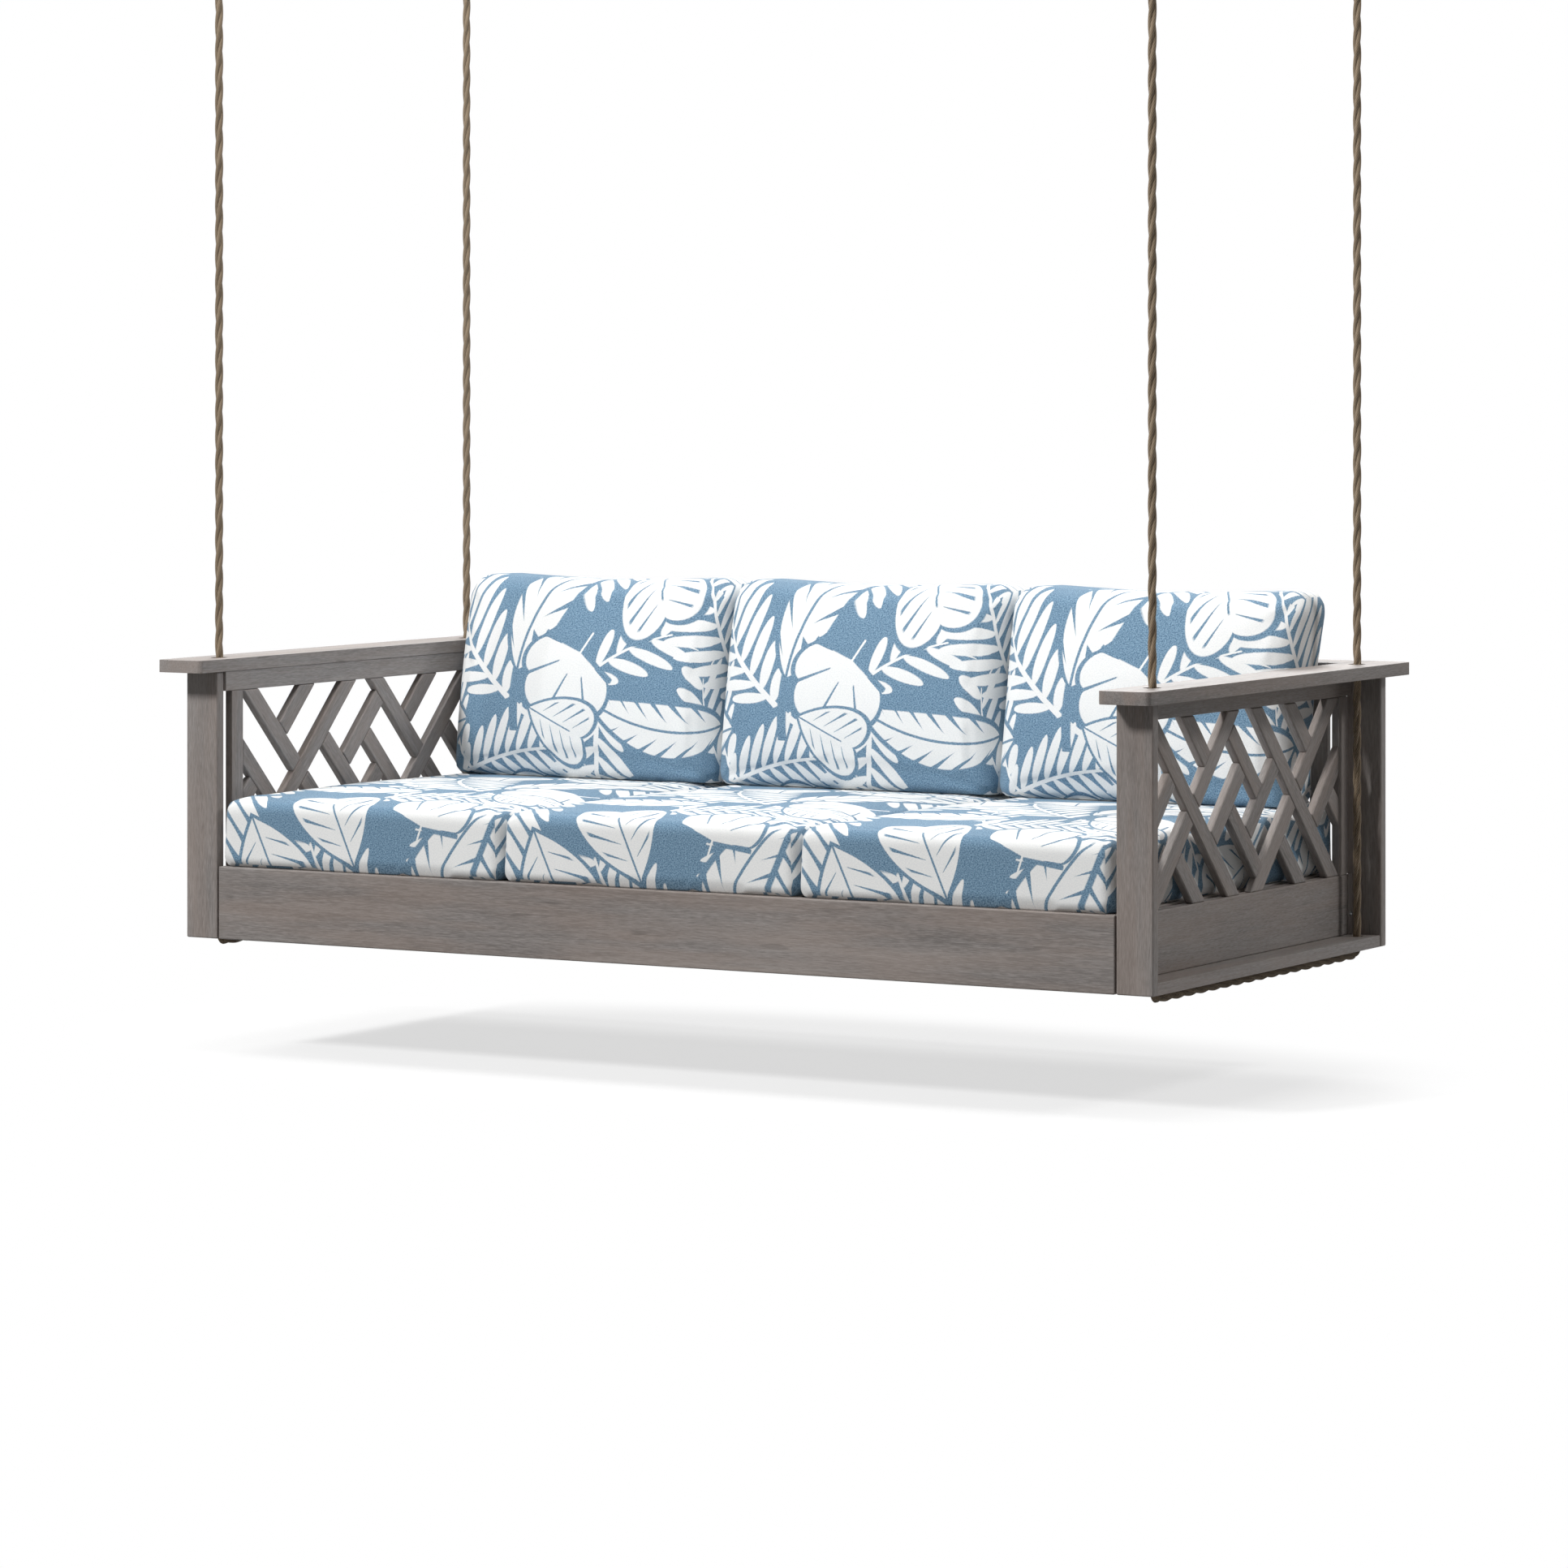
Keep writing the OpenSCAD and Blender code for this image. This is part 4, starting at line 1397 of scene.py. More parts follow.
@dataclass
class Planks:
    """Every board of the frame and of the lattice, rounded and stained."""

    rounding: float = 0.003
    rest_rounding: float = 0.004
    rest_corner: float = 0.010
    slat_rounding: float = 0.0034
    panel_rounding: float = 0.0018
    top_rail: float = 0.038
    stile: float = 0.0375
    arm_stile_y: float = 0.44125
    back_stile_x: float = 0.91825
    deck_slats: int = 14
    deck_slat: float = 0.090
    deck_seed: int = 95

    def board(
        self, node: str, run: Run, seed: int, rounding: float = 0.0, upright: float = 0.0
    ) -> None:
        """Dresses the boards of one node.

        Args:
            node: the frame's node.
            run: the direction of the grain.
            seed: the seed of its tones.
            rounding: the rounding of its edges, if not the usual one.
            upright: the rounding of its upright edges, where it is larger.
        """
        source = frame["nodes"][node].data
        mesh = shaded(softened(source, rounding or self.rounding, 3, upright))
        place(f"{node}_plank", grained(mesh, run, seed), PLANK, "bed", Slot.PLANK, [node])

    def panel(self, node: str, run: Run, uprights: Sequence[float], seed: int) -> None:
        """Builds a panel's frame of separate boards, a top rail and its stiles.

        Args:
            node: the frame's node.
            run: the way that the rail runs.
            uprights: where the middle of each stile is along the rail.
            seed: the seed of the boards' tones.
        """
        across = 0 if run is Run.ALONG_X else 1
        low, high = (list(corner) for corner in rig.box(node))
        split = high[2] - self.top_rail
        rail = board_mesh([low[0], low[1], split], high, self.panel_rounding)
        boards = [grained(rail, run, seed)]
        for number, middle in enumerate(uprights):
            foot, head = list(low), [high[0], high[1], split]
            foot[across], head[across] = middle - self.stile / 2, middle + self.stile / 2
            upright = board_mesh(foot, head, self.panel_rounding)
            boards.append(grained(upright, Run.UPRIGHT, seed + 1 + number))
        place(f"{node}_plank", shaded(joined(boards)), PLANK, "bed", Slot.PLANK, [node])

    def deck(self) -> None:
        """Lays the row of seat slats across the ledgers."""
        low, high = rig.box("seat_slats")
        first = board_mesh(low, [low[0] + self.deck_slat, high[1], high[2]], self.rounding)
        pitch = (high[0] - low[0] - self.deck_slat) / (self.deck_slats - 1)
        values = {"Count": self.deck_slats, "Pitch": (pitch, 0.0, 0.0), "Seed": self.deck_seed}
        mesh = Growth("slat_row", draw_slat_row).run(first, PLANK, values)
        place("seat_slats_plank", shaded(mesh), PLANK, "bed", Slot.PLANK, ["seat_slats"])

    def make(self) -> None:
        """Makes all the boards, each with a fixed seed of its own."""
        plain = (
            (Run.ALONG_X, 11, ("front_rail", "rear_rail", "inner_front_board",
                               "inner_rear_board", "seat_ledgers", "centre_beam")),
            (Run.ALONG_Y, 31, ("side_apron_l", "side_apron_r", "ledge_board_l", "ledge_board_r")),
            (Run.UPRIGHT, 51, ("post_fl", "post_fr", "post_rl", "post_rr", "corner_cleats")),
        )
        for run, seed, nodes in plain:
            for number, node in enumerate(nodes):
                self.board(node, run, seed + number)
        for seed, side in enumerate("lr", 71):
            self.board(
                f"armrest_{side}", Run.ALONG_Y, seed, self.rest_rounding, self.rest_corner
            )
        self.board("back_cap", Run.ALONG_X, 73, self.rest_rounding)
        slats = (
            ("arm_slats_falling_l", Run.ARM_RISING, 81),
            ("arm_slats_rising_l", Run.ARM_FALLING, 83),
            ("arm_slats_falling_r", Run.ARM_FALLING, 82),
            ("arm_slats_rising_r", Run.ARM_RISING, 84),
            ("back_slats_falling", Run.BACK_FALLING, 85),
            ("back_slats_rising", Run.BACK_RISING, 86),
        )
        for node, run, seed in slats:
            self.board(node, run, seed, self.slat_rounding)
        y, x = self.arm_stile_y, self.back_stile_x
        self.panel("arm_panel_frame_l", Run.ALONG_Y, (-y, y), 120)
        self.panel("arm_panel_frame_r", Run.ALONG_Y, (-y, y), 125)
        self.panel("back_panel_frame", Run.ALONG_X, (-x, 0.0, x), 130)
        self.deck()


def draw_screws(growth: Growth) -> Signal:
    """Draws the tree of screws that point away from the bed's middle along X.

    Args:
        growth: the tree's owner, whose host's points are where heads bear.

    Returns:
        The screws' geometry.
    """
    g = growth.graph
    head, deep = growth.asks("Head Radius"), growth.asks("Head Height")
    shank, length = growth.asks("Shank Radius"), growth.asks("Shank Length")

    def rod(sides: int, radius: Signal, depth: Signal, middle: Signal) -> Signal:
        """An upright rod whose middle lies at a height.

        Args:
            sides: how many sides it has.
            radius: its radius.
            depth: its length.
            middle: the height of its middle.

        Returns:
            The rod's mesh.
        """
        size = {"Vertices": sides, "Radius": radius, "Depth": depth}
        moved = {0: g.take("GeometryNodeMeshCylinder", size), 1: g.vector_of(Z=middle)}
        return g.take("GeometryNodeTransform", moved)

    ends = {0: rod(28, head, deep, deep * 0.5), 1: rod(6, head * 0.52, deep, deep)}
    cut = g.take("GeometryNodeMeshBoolean", ends, operation="DIFFERENCE")
    screw = g.node("GeometryNodeJoinGeometry")
    for part in (cut, rod(14, shank, length, length * -0.5)):
        g.feed(screw.inputs[0], part)
    x, _, _ = g.parts(g.take("GeometryNodeInputPosition"))
    tip = g.vector_of(Y=x.to("SIGN") * (math.pi / 2))
    turn = g.take("FunctionNodeEulerToRotation", {0: tip})
    return g.take("GeometryNodeInstanceOnPoints", {0: growth.host, 2: g.read(screw), 5: turn})


def draw_threads(growth: Growth) -> Signal:
    """Draws the tree of threads that climb from each of the host's points.

    Args:
        growth: the tree's owner.

    Returns:
        The threads' geometry.
    """
    g = growth.graph
    radius, height = growth.asks("Radius"), growth.asks("Height")
    turns = height / growth.asks("Pitch")
    helix = g.take("GeometryNodeCurveSpiral", {
        "Resolution": 18, "Rotations": turns, "Start Radius": radius, "End Radius": radius,
        "Height": height,
    })
    ring = {"Resolution": 4, "Radius": growth.asks("Ridge")}
    ridge = g.take("GeometryNodeCurvePrimitiveCircle", ring)
    sweep = {"Curve": helix, "Profile Curve": ridge, "Fill Caps": True}
    thread = g.take("GeometryNodeCurveToMesh", sweep)
    return g.take("GeometryNodeInstanceOnPoints", {0: growth.host, 2: thread})


@dataclass
class Fittings:
    """The zinc-plated fittings at the ceiling and the frame's screws."""

    edge: float = 0.0007
    screw_edge: float = 0.0004
    screw_head: Pair = (0.0045, 0.0025)
    screw_shank: Pair = (0.0020, 0.050)
    stud_at: Pair = (1.008, 0.440)
    stud_radius: float = 0.006
    thread_foot: float = 0.004
    thread_length: float = 0.071
    thread_pitch: float = 0.00175
    thread_ridge: float = 0.0006
    sharp: float = 50.0

    def part(self, node: str, body: str, name: str) -> None:
        """Dresses one node of the fittings."""
        mesh = shaded(softened(frame["nodes"][node].data, self.edge, 2, sharp=self.sharp))
        place(name, mesh, ZINC, body, Slot.ZINC, [node])

    def screws(self) -> None:
        """Drives the screws into the corner cleats."""
        low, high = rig.box("frame_screws")
        (head, deep), (shank, length) = self.screw_head, self.screw_shank
        middle = (low[2] + high[2]) / 2
        spots = [(*corner.out(high[0] - deep, high[1] - head), middle) for corner in Corner]
        mesh = Growth("screws", draw_screws).run(path_mesh(spots), ZINC, {
            "Head Radius": head, "Head Height": deep, "Shank Radius": shank,
            "Shank Length": length,
        })
        rounded = shaded(softened(mesh, self.screw_edge, 2, sharp=self.sharp))
        place("cleat_screws", rounded, ZINC, "bed", Slot.ZINC, ["frame_screws"])

    def threads(self) -> None:
        """Winds the threads of the studs that hold the hangers in the joists."""
        spots = [(*corner.out(*self.stud_at), self.thread_foot) for corner in Corner]
        mesh = Growth("threads", draw_threads).run(path_mesh(spots), ZINC, {
            "Radius": self.stud_radius, "Height": self.thread_length,
            "Pitch": self.thread_pitch, "Ridge": self.thread_ridge,
        })
        place("stud_threads", shaded(mesh, 30), ZINC, "ceiling", Slot.ZINC)

    def make(self) -> None:
        """Makes the hangers, pins, links, shackles, thimbles and screws."""
        self.part("hangers", "ceiling", "ceiling_hangers")
        self.part("hanger_pins", "ceiling", "ceiling_pins")
        self.screws()
        self.threads()
        bodies = {"swing_link": "link", "shackle": "hang", "thimble": "hang"}
        for tag in (corner.tag for corner in Corner):
            for kind, body in bodies.items():
                name = f"{kind.removeprefix('swing_')}_{tag}_steel"
                self.part(f"{kind}_{tag}", f"{body}_{tag}", name)


class Motif(Enum):
    """The motifs of the leaf print, each drawn about 2 long round its middle.

    The numbers in their drawing are lengths on that scale, or shares.
    """

    FERN = "fern"
    SPRAY = "spray"
    HEART = "heart"
    LANCE = "lance"
    FAN = "fan"

    def tree(self) -> bpy.types.NodeTree:
        """The motif's node group, made on first use: leaf and halo from a point.

        Returns:
            The group.
        """
        name = f"leaf_{self.value}"
        made = bpy.data.node_groups.get(name)
        if made is None:
            made = bpy.data.node_groups.new(name, "ShaderNodeTree")
            made.interface.new_socket("At", in_out="INPUT", socket_type="NodeSocketVector")
            for title in ("Leaf", "Halo"):
                made.interface.new_socket(title, in_out="OUTPUT", socket_type="NodeSocketFloat")
            graph = Graph(made)
            x, y, _ = graph.parts(graph.take("NodeGroupInput"))
            draws = {
                Motif.FERN: lambda: self.frond(x, y, 11.0, 0.62, 0.36, 0.42),
                Motif.SPRAY: lambda: self.frond(x, y, 5.0, 0.58, 0.50, 0.36),
                Motif.HEART: lambda: self.heart(x, y),
                Motif.LANCE: lambda: self.lance(x, y),
                Motif.FAN: lambda: self.fan(x, y),
            }
            graph.node("NodeGroupOutput", dict(enumerate(draws[self]())))
        return made

    @staticmethod
    def frond(
        x: Signal, y: Signal, pairs: float, reach: float, climb: float, fat: float
    ) -> tuple[Signal, Signal]:
        """Oval leaflets on both sides of a bent stem.

        Args:
            x: the point across the frond.
            y: the point along it, from -1 to 1.
            pairs: how many pairs of leaflets.
            reach: the longest leaflet's length.
            climb: how far a leaflet climbs along the stem over its length.
            fat: half a leaflet's width as a share of its pitch.

        Returns:
            The leaf's mask and its halo's.
        """
        bent = x - y * y * 0.16
        side = abs(bent)
        foot = y * 0.5 + 0.5 - side * climb
        turn = bent.to("GREATER_THAN", 0.0) * 0.45 + foot * pairs
        own = turn.to("FLOOR") / pairs
        arch = (own * (1.12 - own)).to("MAXIMUM", 0.002)
        share = side / (arch.to("POWER", 0.55) * (1.9 * reach))
        shape = (share * (1.0 - share)).to("MAXIMUM", 0.0)
        off = abs(turn.to("FRACT") - 0.5 + share * share * 0.10)
        gap = shape.to("SQRT") * (2 * fat) - off
        inside = foot.between(0.015, 0.03).to("MINIMUM", foot.between(0.985, 0.97))
        stem = (0.026 - (y * 0.009 + side)).between(0.0, 0.006)
        stem = stem * y.between(-1.2, -1.19).to("MINIMUM", y.between(0.97, 0.95))
        return (gap.between(0.0, 0.06) * inside).to("MAXIMUM", stem), stem

    @staticmethod
    def heart(x: Signal, y: Signal) -> tuple[Signal, Signal]:
        """A heart-shaped leaf with a midrib, slit veins and a short stalk.

        Args:
            x: the point across the leaf.
            y: the point along it, from -1 to 1.

        Returns:
            The leaf's mask and its halo's.
        """
        side = abs(x)
        rise = y - side.to("POWER", 0.75) * 0.62
        edge = 0.86 - (x * (y * -0.14 + 1.12)).far(rise)
        slit = abs((y * 3.1 - side * 2.3).to("FRACT") - 0.5)
        open_slit = ((side - 0.10) * 0.20 + 0.03 - slit).between(0.0, 0.03)
        open_slit = open_slit.to("MINIMUM", side.between(0.10, 0.13)) * edge.between(0.10, 0.14)
        rib = side.between(0.024, 0.014) * y.between(0.55, 0.50)
        leaf = edge.between(0.0, 0.02) * (1.0 - open_slit.to("MAXIMUM", rib))
        return leaf, edge.between(-0.09, -0.07)

    @staticmethod
    def lance(x: Signal, y: Signal) -> tuple[Signal, Signal]:
        """A long bent leaf with a midrib and a few torn notches.

        Args:
            x: the point across the leaf.
            y: the point along it, from -1 to 1.

        Returns:
            The leaf's mask and its halo's.
        """
        bent = x - y * y * 0.20
        side = abs(bent)
        taper = (1.0 - y * y).to("MAXIMUM", 0.0)
        edge = taper.to("POWER", 0.72) * (y * -0.07 + 0.33) - side
        climb = bent.to("GREATER_THAN", 0.0) * 0.4 + (y * 3.6 - side * 4.2)
        notch = abs(climb.to("FRACT") - 0.5)
        torn = ((side - 0.09) * 0.75 - notch).between(0.0, 0.03)
        rib = side.between(0.020, 0.012) * y.between(0.86, 0.80)
        leaf = edge.between(0.0, 0.014) * (1.0 - torn.to("MAXIMUM", rib))
        return leaf, edge.between(-0.07, -0.055)

    @staticmethod
    def fan(x: Signal, y: Signal) -> tuple[Signal, Signal]:
        """A fan of joined fingers round a stalk.

        Args:
            x: the point across the leaf.
            y: the point along it, from -1 to 1.

        Returns:
            The leaf's mask and its halo's.
        """
        low = y + 0.72
        far, angle = x.far(low), x.to("ARCTAN2", low)
        finger = abs((angle * 4.5).to("SINE"))
        reach = (angle * 0.62).to("COSINE") * 1.36 * (finger.to("POWER", 0.5) * 0.17 + 0.83)
        edge = (reach - far).to("MINIMUM", (1.42 - abs(angle)) * far)
        ray = finger.between(0.15, 0.09) * far.between(0.42, 0.46)
        stalk = (0.025 - abs(x)).between(0.0, 0.01) * y.between(-0.68, -0.70)
        stalk = stalk * y.between(-1.12, -1.10)
        leaf = (edge.between(0.0, 0.02) * (1.0 - ray)).to("MAXIMUM", stalk)
        return leaf, edge.between(-0.09, -0.07)


@dataclass(frozen=True)
class Sprig:
    """One motif of the print: its middle, size and turn in the repeat."""

    motif: Motif
    u: float
    v: float
    size: float
    turn: float


@dataclass(frozen=True)
class CanvasFinish(Finish):
    """Woven outdoor canvas with a white leaf print on heathered blue."""

    title: str = "leaf_canvas"
    ground: Point = (138, 169, 192)
    faint: Point = (75, 107, 133)
    white: Point = (243, 243, 241)
    dull: Point = (226, 228, 229)
    weave: float = 0.0011
    waver: float = 260
    ragged: Pair = (330.0, 0.0016)
    slubs: Point = (300, 620, 1)
    crosses: Point = (620, 300, 1)
    repeat: float = 0.62
    sprigs: tuple[Sprig, ...] = (
        Sprig(Motif.FERN, 0.12, 0.12, 0.200, 38),
        Sprig(Motif.FERN, 0.44, 0.43, 0.205, 165),
        Sprig(Motif.SPRAY, 0.50, 0.09, 0.125, -62),
        Sprig(Motif.FERN, 0.24, 0.50, 0.160, -75),
        Sprig(Motif.SPRAY, 0.10, 0.56, 0.110, 20),
        Sprig(Motif.LANCE, 0.32, 0.24, 0.190, -28),
        Sprig(Motif.LANCE, 0.60, 0.56, 0.160, 82),
        Sprig(Motif.HEART, 0.09, 0.33, 0.105, 24),
        Sprig(Motif.HEART, 0.55, 0.25, 0.110, 205),
        Sprig(Motif.FAN, 0.37, 0.02, 0.115, 150),
        Sprig(Motif.FAN, 0.30, 0.40, 0.100, -18),
        Sprig(Motif.HEART, 0.36, 0.57, 0.080, -115),
    )

    def print_mask(self, graph: Graph, at: Signal) -> Signal:
        """The white of the print, from 0 to 1.

        Args:
            graph: the material's graph.
            at: the point on the cloth, in metres.

        Returns:
            The mask.
        """
        mask: Feed = 0.0
        half = self.repeat / 2
        for sprig in self.sprigs:
            away = graph.vector("SUBTRACT", at, (sprig.u, sprig.v, 0.0))
            cell = graph.vector("WRAP", away, (half, half, 1.0), (-half, -half, -1.0))
            spin = {"Vector": cell, "Angle": math.radians(-sprig.turn)}
            turned = graph.take("ShaderNodeVectorRotate", spin, rotation_type="Z_AXIS")
            sized = graph.scaled(turned, 1 / sprig.size)
            leaf = graph.node("ShaderNodeGroup", {0: sized}, node_tree=sprig.motif.tree())
            keep = 1.0 - graph.read(leaf, "Halo")
            mask = (keep * mask).to("MAXIMUM", graph.read(leaf, "Leaf"))
        return mask

    def draw(self, graph: Graph, shader: bpy.types.Node) -> None:
        """Draws the print, the heathered yarn and the weave.

        Args:
            graph: the material's graph.
            shader: the shader that the nodes feed.
        """
        at = graph.attribute("print", "Vector")
        fine, reach = self.ragged
        stray = graph.take("ShaderNodeTexNoise", {"Vector": at, "Scale": fine, "Detail": 1.0}, 1)
        shift = graph.scaled(graph.vector("SUBTRACT", stray, (0.5, 0.5, 0.5)), reach)
        mask = self.print_mask(graph, graph.vector("ADD", at, shift))
        slub = graph.noise(at, self.slubs, 1, 0.6)
        cross = graph.noise(at, self.crosses, 1, 0.6)
        heather = slub * 0.6 + cross * 0.4
        blue = graph.blend(heather.between(0.39, 0.61), self.faint, self.ground)
        pale = graph.blend(heather.between(0.30, 0.60), self.dull, self.white)
        graph.dress(shader, {
            "Base Color": graph.blend(mask, blue, pale), "Roughness": 0.88,
            "Specular IOR Level": 0.22, "Sheen Weight": 0.12,
        })
        warp, weft, _ = graph.parts(graph.scaled(at, 2 * math.pi / self.weave))
        rise = warp.to("SINE") * weft.to("SINE") * 0.35
        height = rise + (graph.noise(at, self.waver, 2) * 0.5 + heather)
        graph.bumped(shader, height, strength=0.45, depth=0.0005)


CANVAS = CanvasFinish()


@dataclass(frozen=True)
class PadForm:
    """How one kind of cushion is plumped and how its cloth is cut."""

    kind: str
    facing: int
    voxel: float
    tuck: float
    cap: float
    print_from: Pair

    @property
    def node(self) -> str:
        """The frame's node of the middle cushion of this kind."""
        return f"{self.kind}_cushion_m"

    @property
    def solid(self) -> bpy.types.Mesh:
        """The middle cushion's mesh in the frame."""
        return frame["nodes"][self.node].data

    @property
    def box(self) -> list[np.ndarray]:
        """The least and the greatest corner of the middle cushion's space."""
        return [np.array(corner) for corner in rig.box(self.node)]

    @property
    def up(self) -> int:
        """The axis that runs up the face, as one sees the cushion."""
        return 3 - self.facing

    @property
    def sign(self) -> int:
        """1 where the face looks up, -1 where it looks to the front."""
        return 1 if self.facing == 2 else -1


SEAT_FORM = PadForm("seat", 2, 0.0090, 0.0020, 0.008, (0.137, 0.215))
BACK_FORM = PadForm("back", 1, 0.0085, 0.0030, 0.012, (0.402, 0.038))


CLOTH = {
    "quality": 4,
    "mass": 0.25,
    "tension_stiffness": 18,
    "compression_stiffness": 18,
    "shear_stiffness": 8,
    "bending_stiffness": 1.2,
    "use_pressure": True,
}


@dataclass
class Cushions:
    """Three seat cushions and three back cushions, plumped as cloth bags."""

    pressure: float = 4.0
    frames: int = 20
    seam: float = 0.0005
    seam_sharp: float = 85
    crease: float = 0.0034
    slack: float = 0.0015
    proud: float = 0.0030
    foot: float = -0.9
    folds: Pair = (7.0, 11.0)
    drift: Pair = (2.0, 5.0)
    fold_reach: Pair = (0.06, 0.12)
    fold_start: float = 0.05
    waves: int = 4
    wave_rate: float = 14
    wave: float = 0.0004
    seat_brow: float = 0.022
    back_brow: float = 0.004
    back_band: Pair = (0.062, 0.046)
    face: float = 0.62
    rear: float = -0.7
    forms: tuple[PadForm, ...] = (SEAT_FORM, BACK_FORM)

    def even(self, form: PadForm) -> bpy.types.Mesh:
        """An even, smooth and slightly smaller copy of a cushion's solid.

        Args:
            form: the cushion's kind.

        Returns:
            The copy, in quads.
        """
        mesh = worked(
            softened(form.solid, self.seam, 1, sharp=self.seam_sharp),
            ("REMESH", {"mode": "VOXEL", "voxel_size": form.voxel}),
            ("SMOOTH", {"factor": 0.5, "iterations": 3}),
        )
        set_coords(mesh, coords(mesh) - form.tuck * read_rows(mesh.vertices, "normal"))
        return mesh

    def plumped(self, mesh: bpy.types.Mesh, form: PadForm) -> bpy.types.Mesh:
        """Blows a cushion up as a bag of cloth, each point no further than a cap.

        Args:
            mesh: the even mesh, which is used up.
            form: the cushion's kind.

        Returns:
            The plumped mesh.
        """
        start = coords(mesh)
        host = linked("work", mesh)
        cloth = host.modifiers.new("cloth", "CLOTH")
        for key, value in {**CLOTH, "uniform_pressure_force": self.pressure}.items():
            setattr(cloth.settings, key, value)
        cloth.settings.effector_weights.gravity = 0
        cloth.collision_settings.use_collision = False
        scene = bpy.context.scene
        for number in range(1, self.frames + 1):
            scene.frame_set(number)
        mesh = shown(host)
        scene.frame_set(1)
        move = coords(mesh) - start
        far = np.linalg.norm(move, axis=1, keepdims=True)
        set_coords(mesh, start + move * np.minimum(1.0, form.cap / np.maximum(far, 1e-9)))
        return mesh

    def held(self, mesh: bpy.types.Mesh, form: PadForm) -> None:
        """Keeps a plumped cushion close to its solid.

        Args:
            mesh: the plumped mesh, whose vertices are moved.
            form: the cushion's kind.
        """
        points, faces = form.solid.vertices, form.solid.polygons
        solid = BVHTree.FromPolygons([v.co for v in points], [tuple(f.vertices) for f in faces])
        rows = coords(mesh)
        for number, row in enumerate(rows):
            near, normal, _, _ = solid.find_nearest(Vector(row))
            out = (Vector(row) - near).dot(normal)
            keep = 0.0 if normal.z < self.foot else min(max(out, -self.slack), self.proud)
            rows[number] = row + np.array(normal) * (keep - out)
        set_coords(mesh, rows)

    def seated(self, mesh: bpy.types.Mesh, form: PadForm) -> bpy.types.Mesh:
        """Smooths a plumped cushion and fits it to its own space.

        Args:
            mesh: the plumped mesh.
            form: the cushion's kind.

        Returns:
            The mesh in quads half as large, as wide, deep and high as its node.
        """
        low, high = form.box
        mesh = worked(mesh, ("SMOOTH", {"factor": 0.4, "iterations": 2}))
        self.held(mesh, form)
        mesh = worked(mesh, ("SUBSURF", {"levels": 1, "render_levels": 1}))
        rows = coords(mesh)
        near, far = rows.min(axis=0), rows.max(axis=0)
        set_coords(mesh, low + (rows - near) * (high - low) / (far - near))
        mesh.polygons.foreach_set("use_smooth", [True] * len(mesh.polygons))
        return mesh

    def below_brow(self, rows: np.ndarray, out: np.ndarray, form: PadForm) -> np.ndarray:
        """How far each point of a cushion lies behind the brow of its face.

        Args:
            rows: the cushion's places.
            out: how far each point's normal turns to the face's side.
            form: the cushion's kind.

        Returns:
            The distances, 0 on the face.
        """
        low, high = form.box
        if form.facing == 2:
            return np.maximum(0, high[2] - self.seat_brow - rows[:, 2])
        aside, half = np.abs(rows[:, 0] - (low[0] + high[0]) / 2), (high[0] - low[0]) / 2
        outer, inner = self.back_band
        band = (aside > half - outer) & (aside < half - inner) & (out > 0.5)
        fit = np.polyfit(rows[band, 2], rows[band, 1], 3)
        return np.maximum(0, rows[:, 1] - np.polyval(fit, rows[:, 2]) - self.back_brow)

    def printed(self, mesh: bpy.types.Mesh, form: PadForm) -> None:
        """Lays the cloth's own coordinates on a cushion, panel by panel.

        Args:
            mesh: the cushion's mesh.
            form: the cushion's kind.
        """
        rows, normals = coords(mesh), read_rows(mesh.vertices, "normal")
        drop = self.below_brow(rows, form.sign * normals[:, form.facing], form)
        across, along = normals[:, 0], normals[:, form.up]
        weight = across**2 / np.maximum(across**2 + along**2, 1e-6)
        loops = np.zeros(len(mesh.loops), np.int32)
        mesh.loops.foreach_get("vertex_index", loops)
        faces = np.repeat(read_rows(mesh.polygons, "normal"), 4, axis=0)
        turned = form.sign * faces[:, form.facing]
        front, rear = turned > self.face, turned < self.rear
        hard = np.where(np.abs(faces[:, 0]) > np.abs(faces[:, form.up]), 1.0, 0.0)
        part = np.where(rear, 0.0, np.where(front, weight[loops], hard))
        fall = np.where(rear, 0.0, drop[loops])
        at = rows[loops] - sum(form.box) / 2
        sign_u = np.where(front, np.sign(across[loops]), np.sign(faces[:, 0]))
        sign_v = np.where(front, np.sign(along[loops]), np.sign(faces[:, form.up]))
        u = at[:, 0] + sign_u * fall * part + form.print_from[0]
        v = at[:, form.up] + sign_v * fall * (1 - part) + form.print_from[1]
        set_attribute(mesh, "print", "FLOAT_VECTOR", np.stack([u, v, 0 * u], 1), "CORNER")

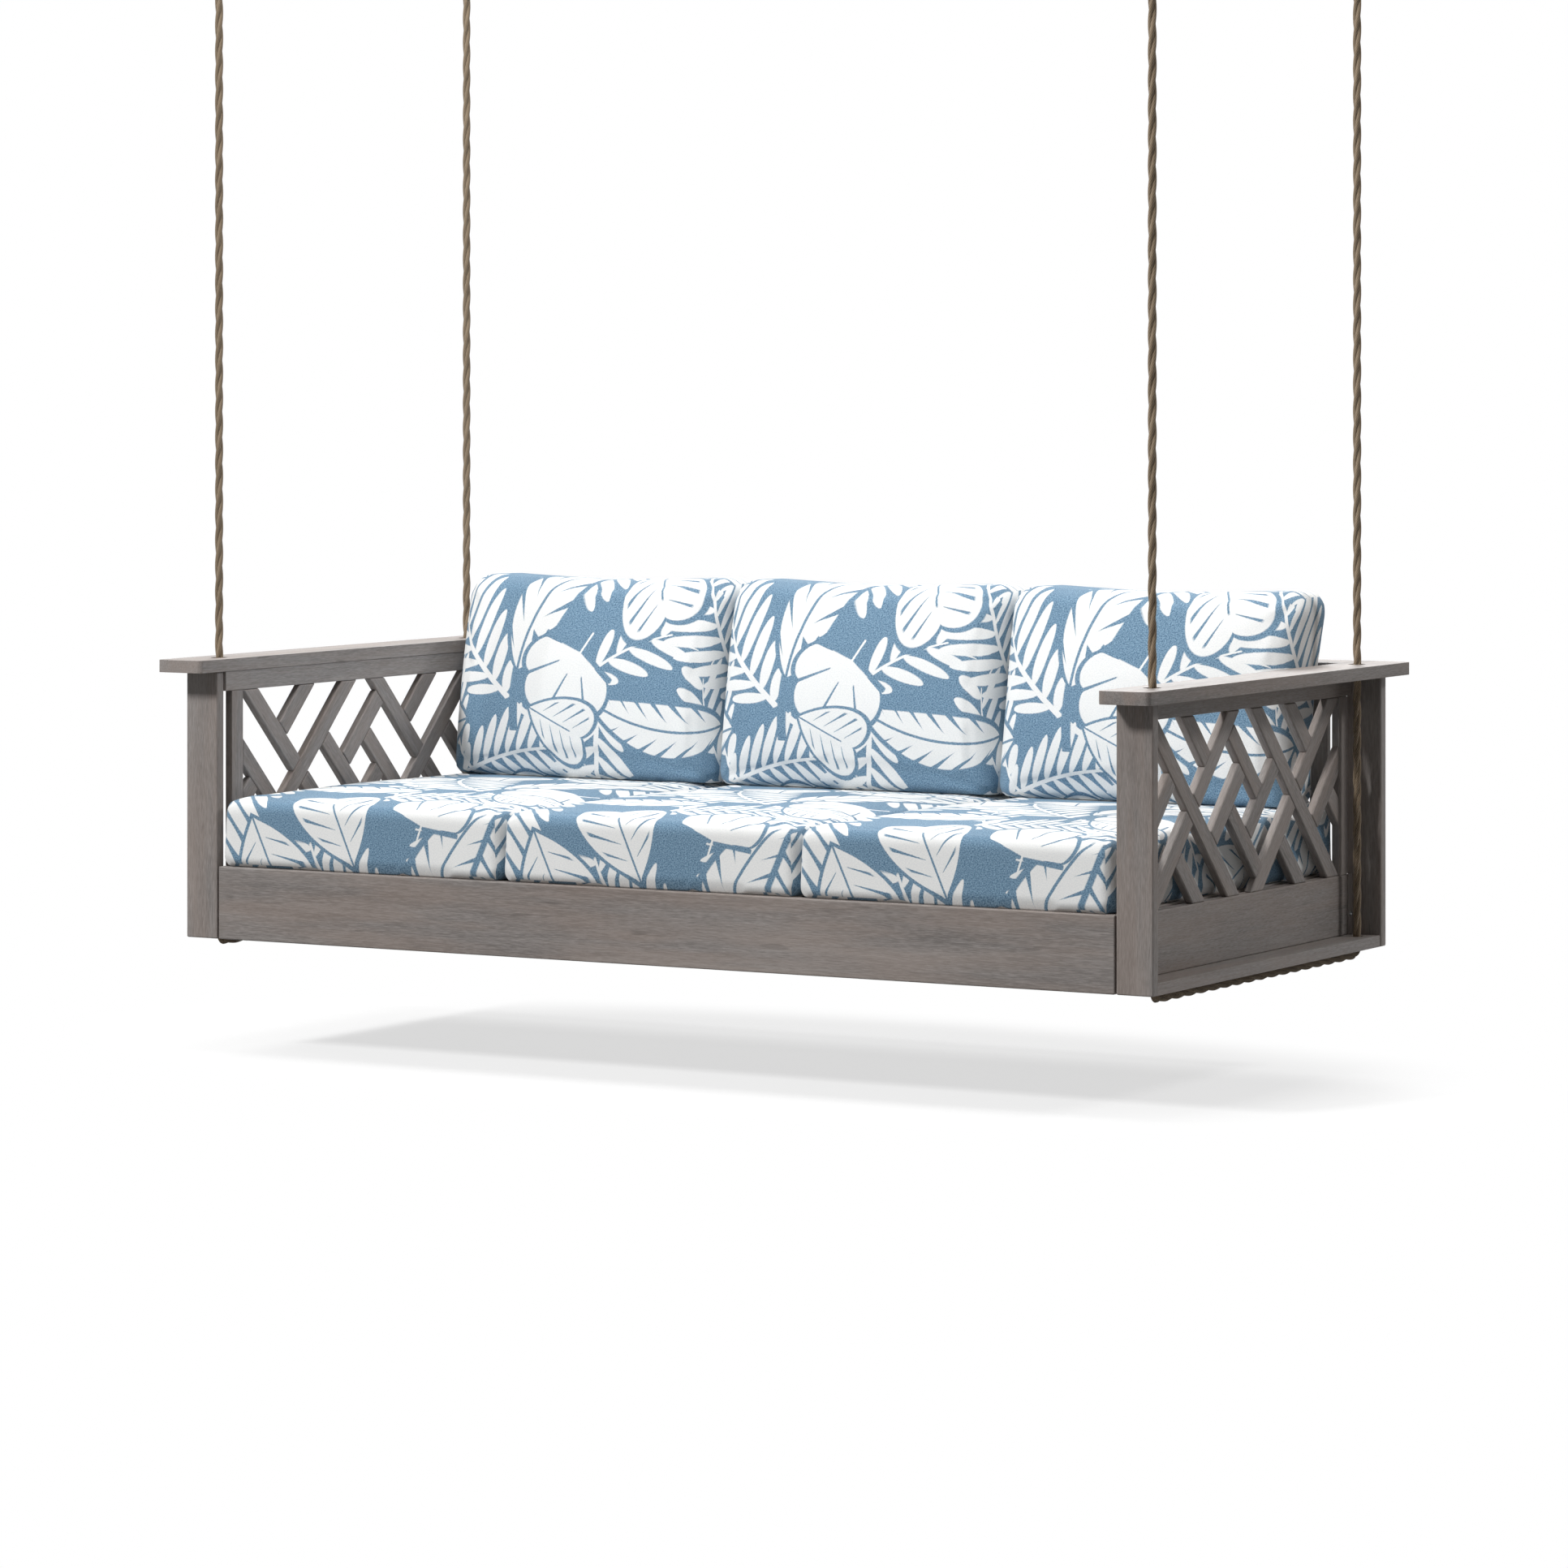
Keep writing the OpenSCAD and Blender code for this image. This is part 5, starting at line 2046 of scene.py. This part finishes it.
    def creased(
        self, rows: np.ndarray, out: np.ndarray, form: PadForm, number: int
    ) -> np.ndarray:
        """Presses shallow creases into a cushion's face, out from its corners.

        Args:
            rows: the cushion's places.
            out: how far each point's normal turns to the face's side.
            form: the cushion's kind.
            number: which of the three cushions it is.

        Returns:
            The changed places.
        """
        random = np.random.default_rng(500 + 10 * form.facing + number)
        low, high = rows.min(axis=0), rows.max(axis=0)
        depth = np.zeros(len(rows))
        for x in (low[0], high[0]):
            for v in (low[form.up], high[form.up]):
                across, along = rows[:, 0] - x, rows[:, form.up] - v
                far = np.hypot(across, along)
                turn = np.arctan2(np.abs(along), np.abs(across))
                fan = random.uniform(*self.folds) * turn + random.uniform(0, TURN)
                fan = np.sin(fan + random.uniform(*self.drift) * far)
                reach = random.uniform(*self.fold_reach)
                depth += fan * np.exp(-far / reach) * np.clip(far / self.fold_start, 0, 1)
        inward = np.zeros_like(rows)
        face = np.clip((out - 0.2) / 0.5, 0, 1)
        inward[:, form.facing] = -form.sign * self.crease * depth * face
        return rows + inward

    def varied(self, rows: np.ndarray, number: int) -> np.ndarray:
        """A cushion's places with its own slow unevenness, under 2 mm.

        Args:
            rows: the places.
            number: which of the three cushions it is.

        Returns:
            The changed places.
        """
        random = np.random.default_rng(300 + number)
        move = np.zeros_like(rows)
        for _ in range(self.waves):
            wave = random.uniform(-self.wave_rate, self.wave_rate, 3)
            phase = random.uniform(0, TURN)
            move += self.wave * np.sin(rows @ wave + phase)[:, None] * random.uniform(-1, 1, 3)
        return rows + move

    def make(self) -> None:
        """Plumps one cushion of each kind and lays three of it side by side."""
        for form in self.forms:
            mesh = self.even(form)
            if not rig.quick():
                mesh = self.plumped(mesh, form)
            mesh = self.seated(mesh, form)
            self.printed(mesh, form)
            first = coords(mesh)
            out = form.sign * read_rows(mesh.vertices, "normal")[:, form.facing]
            for number, side in enumerate("lmr"):
                node = f"{form.kind}_cushion_{side}"
                copy = mesh.copy()
                step = np.array(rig.box(node)[0]) - form.box[0]
                creased = self.creased(self.varied(first, number), out, form, number)
                set_coords(copy, creased + step)
                piece = place(f"{form.kind}_pad_{side}", copy, CANVAS, "bed", Slot.CLOTH, [node])
                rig.padded(piece, fill=0.8)


def main() -> None:
    """Builds the studio and the bed in order and writes its size."""
    logging.basicConfig(level=logging.INFO, format="%(name)s: %(message)s")
    view = bpy.context.scene.view_settings
    view.view_transform = "Standard"
    StudioCamera().make()
    RopeWork(LaidRope()).make()
    Planks().make()
    Fittings().make()
    Cushions().make()
    Studio().make()
    low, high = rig.bounds()
    with open("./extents.json", "w") as file:
        json.dump({"cad": [list(c) for c in CAD_BOX], "visual": [list(low), list(high)]}, file)


if __name__ == "__main__":
    main()
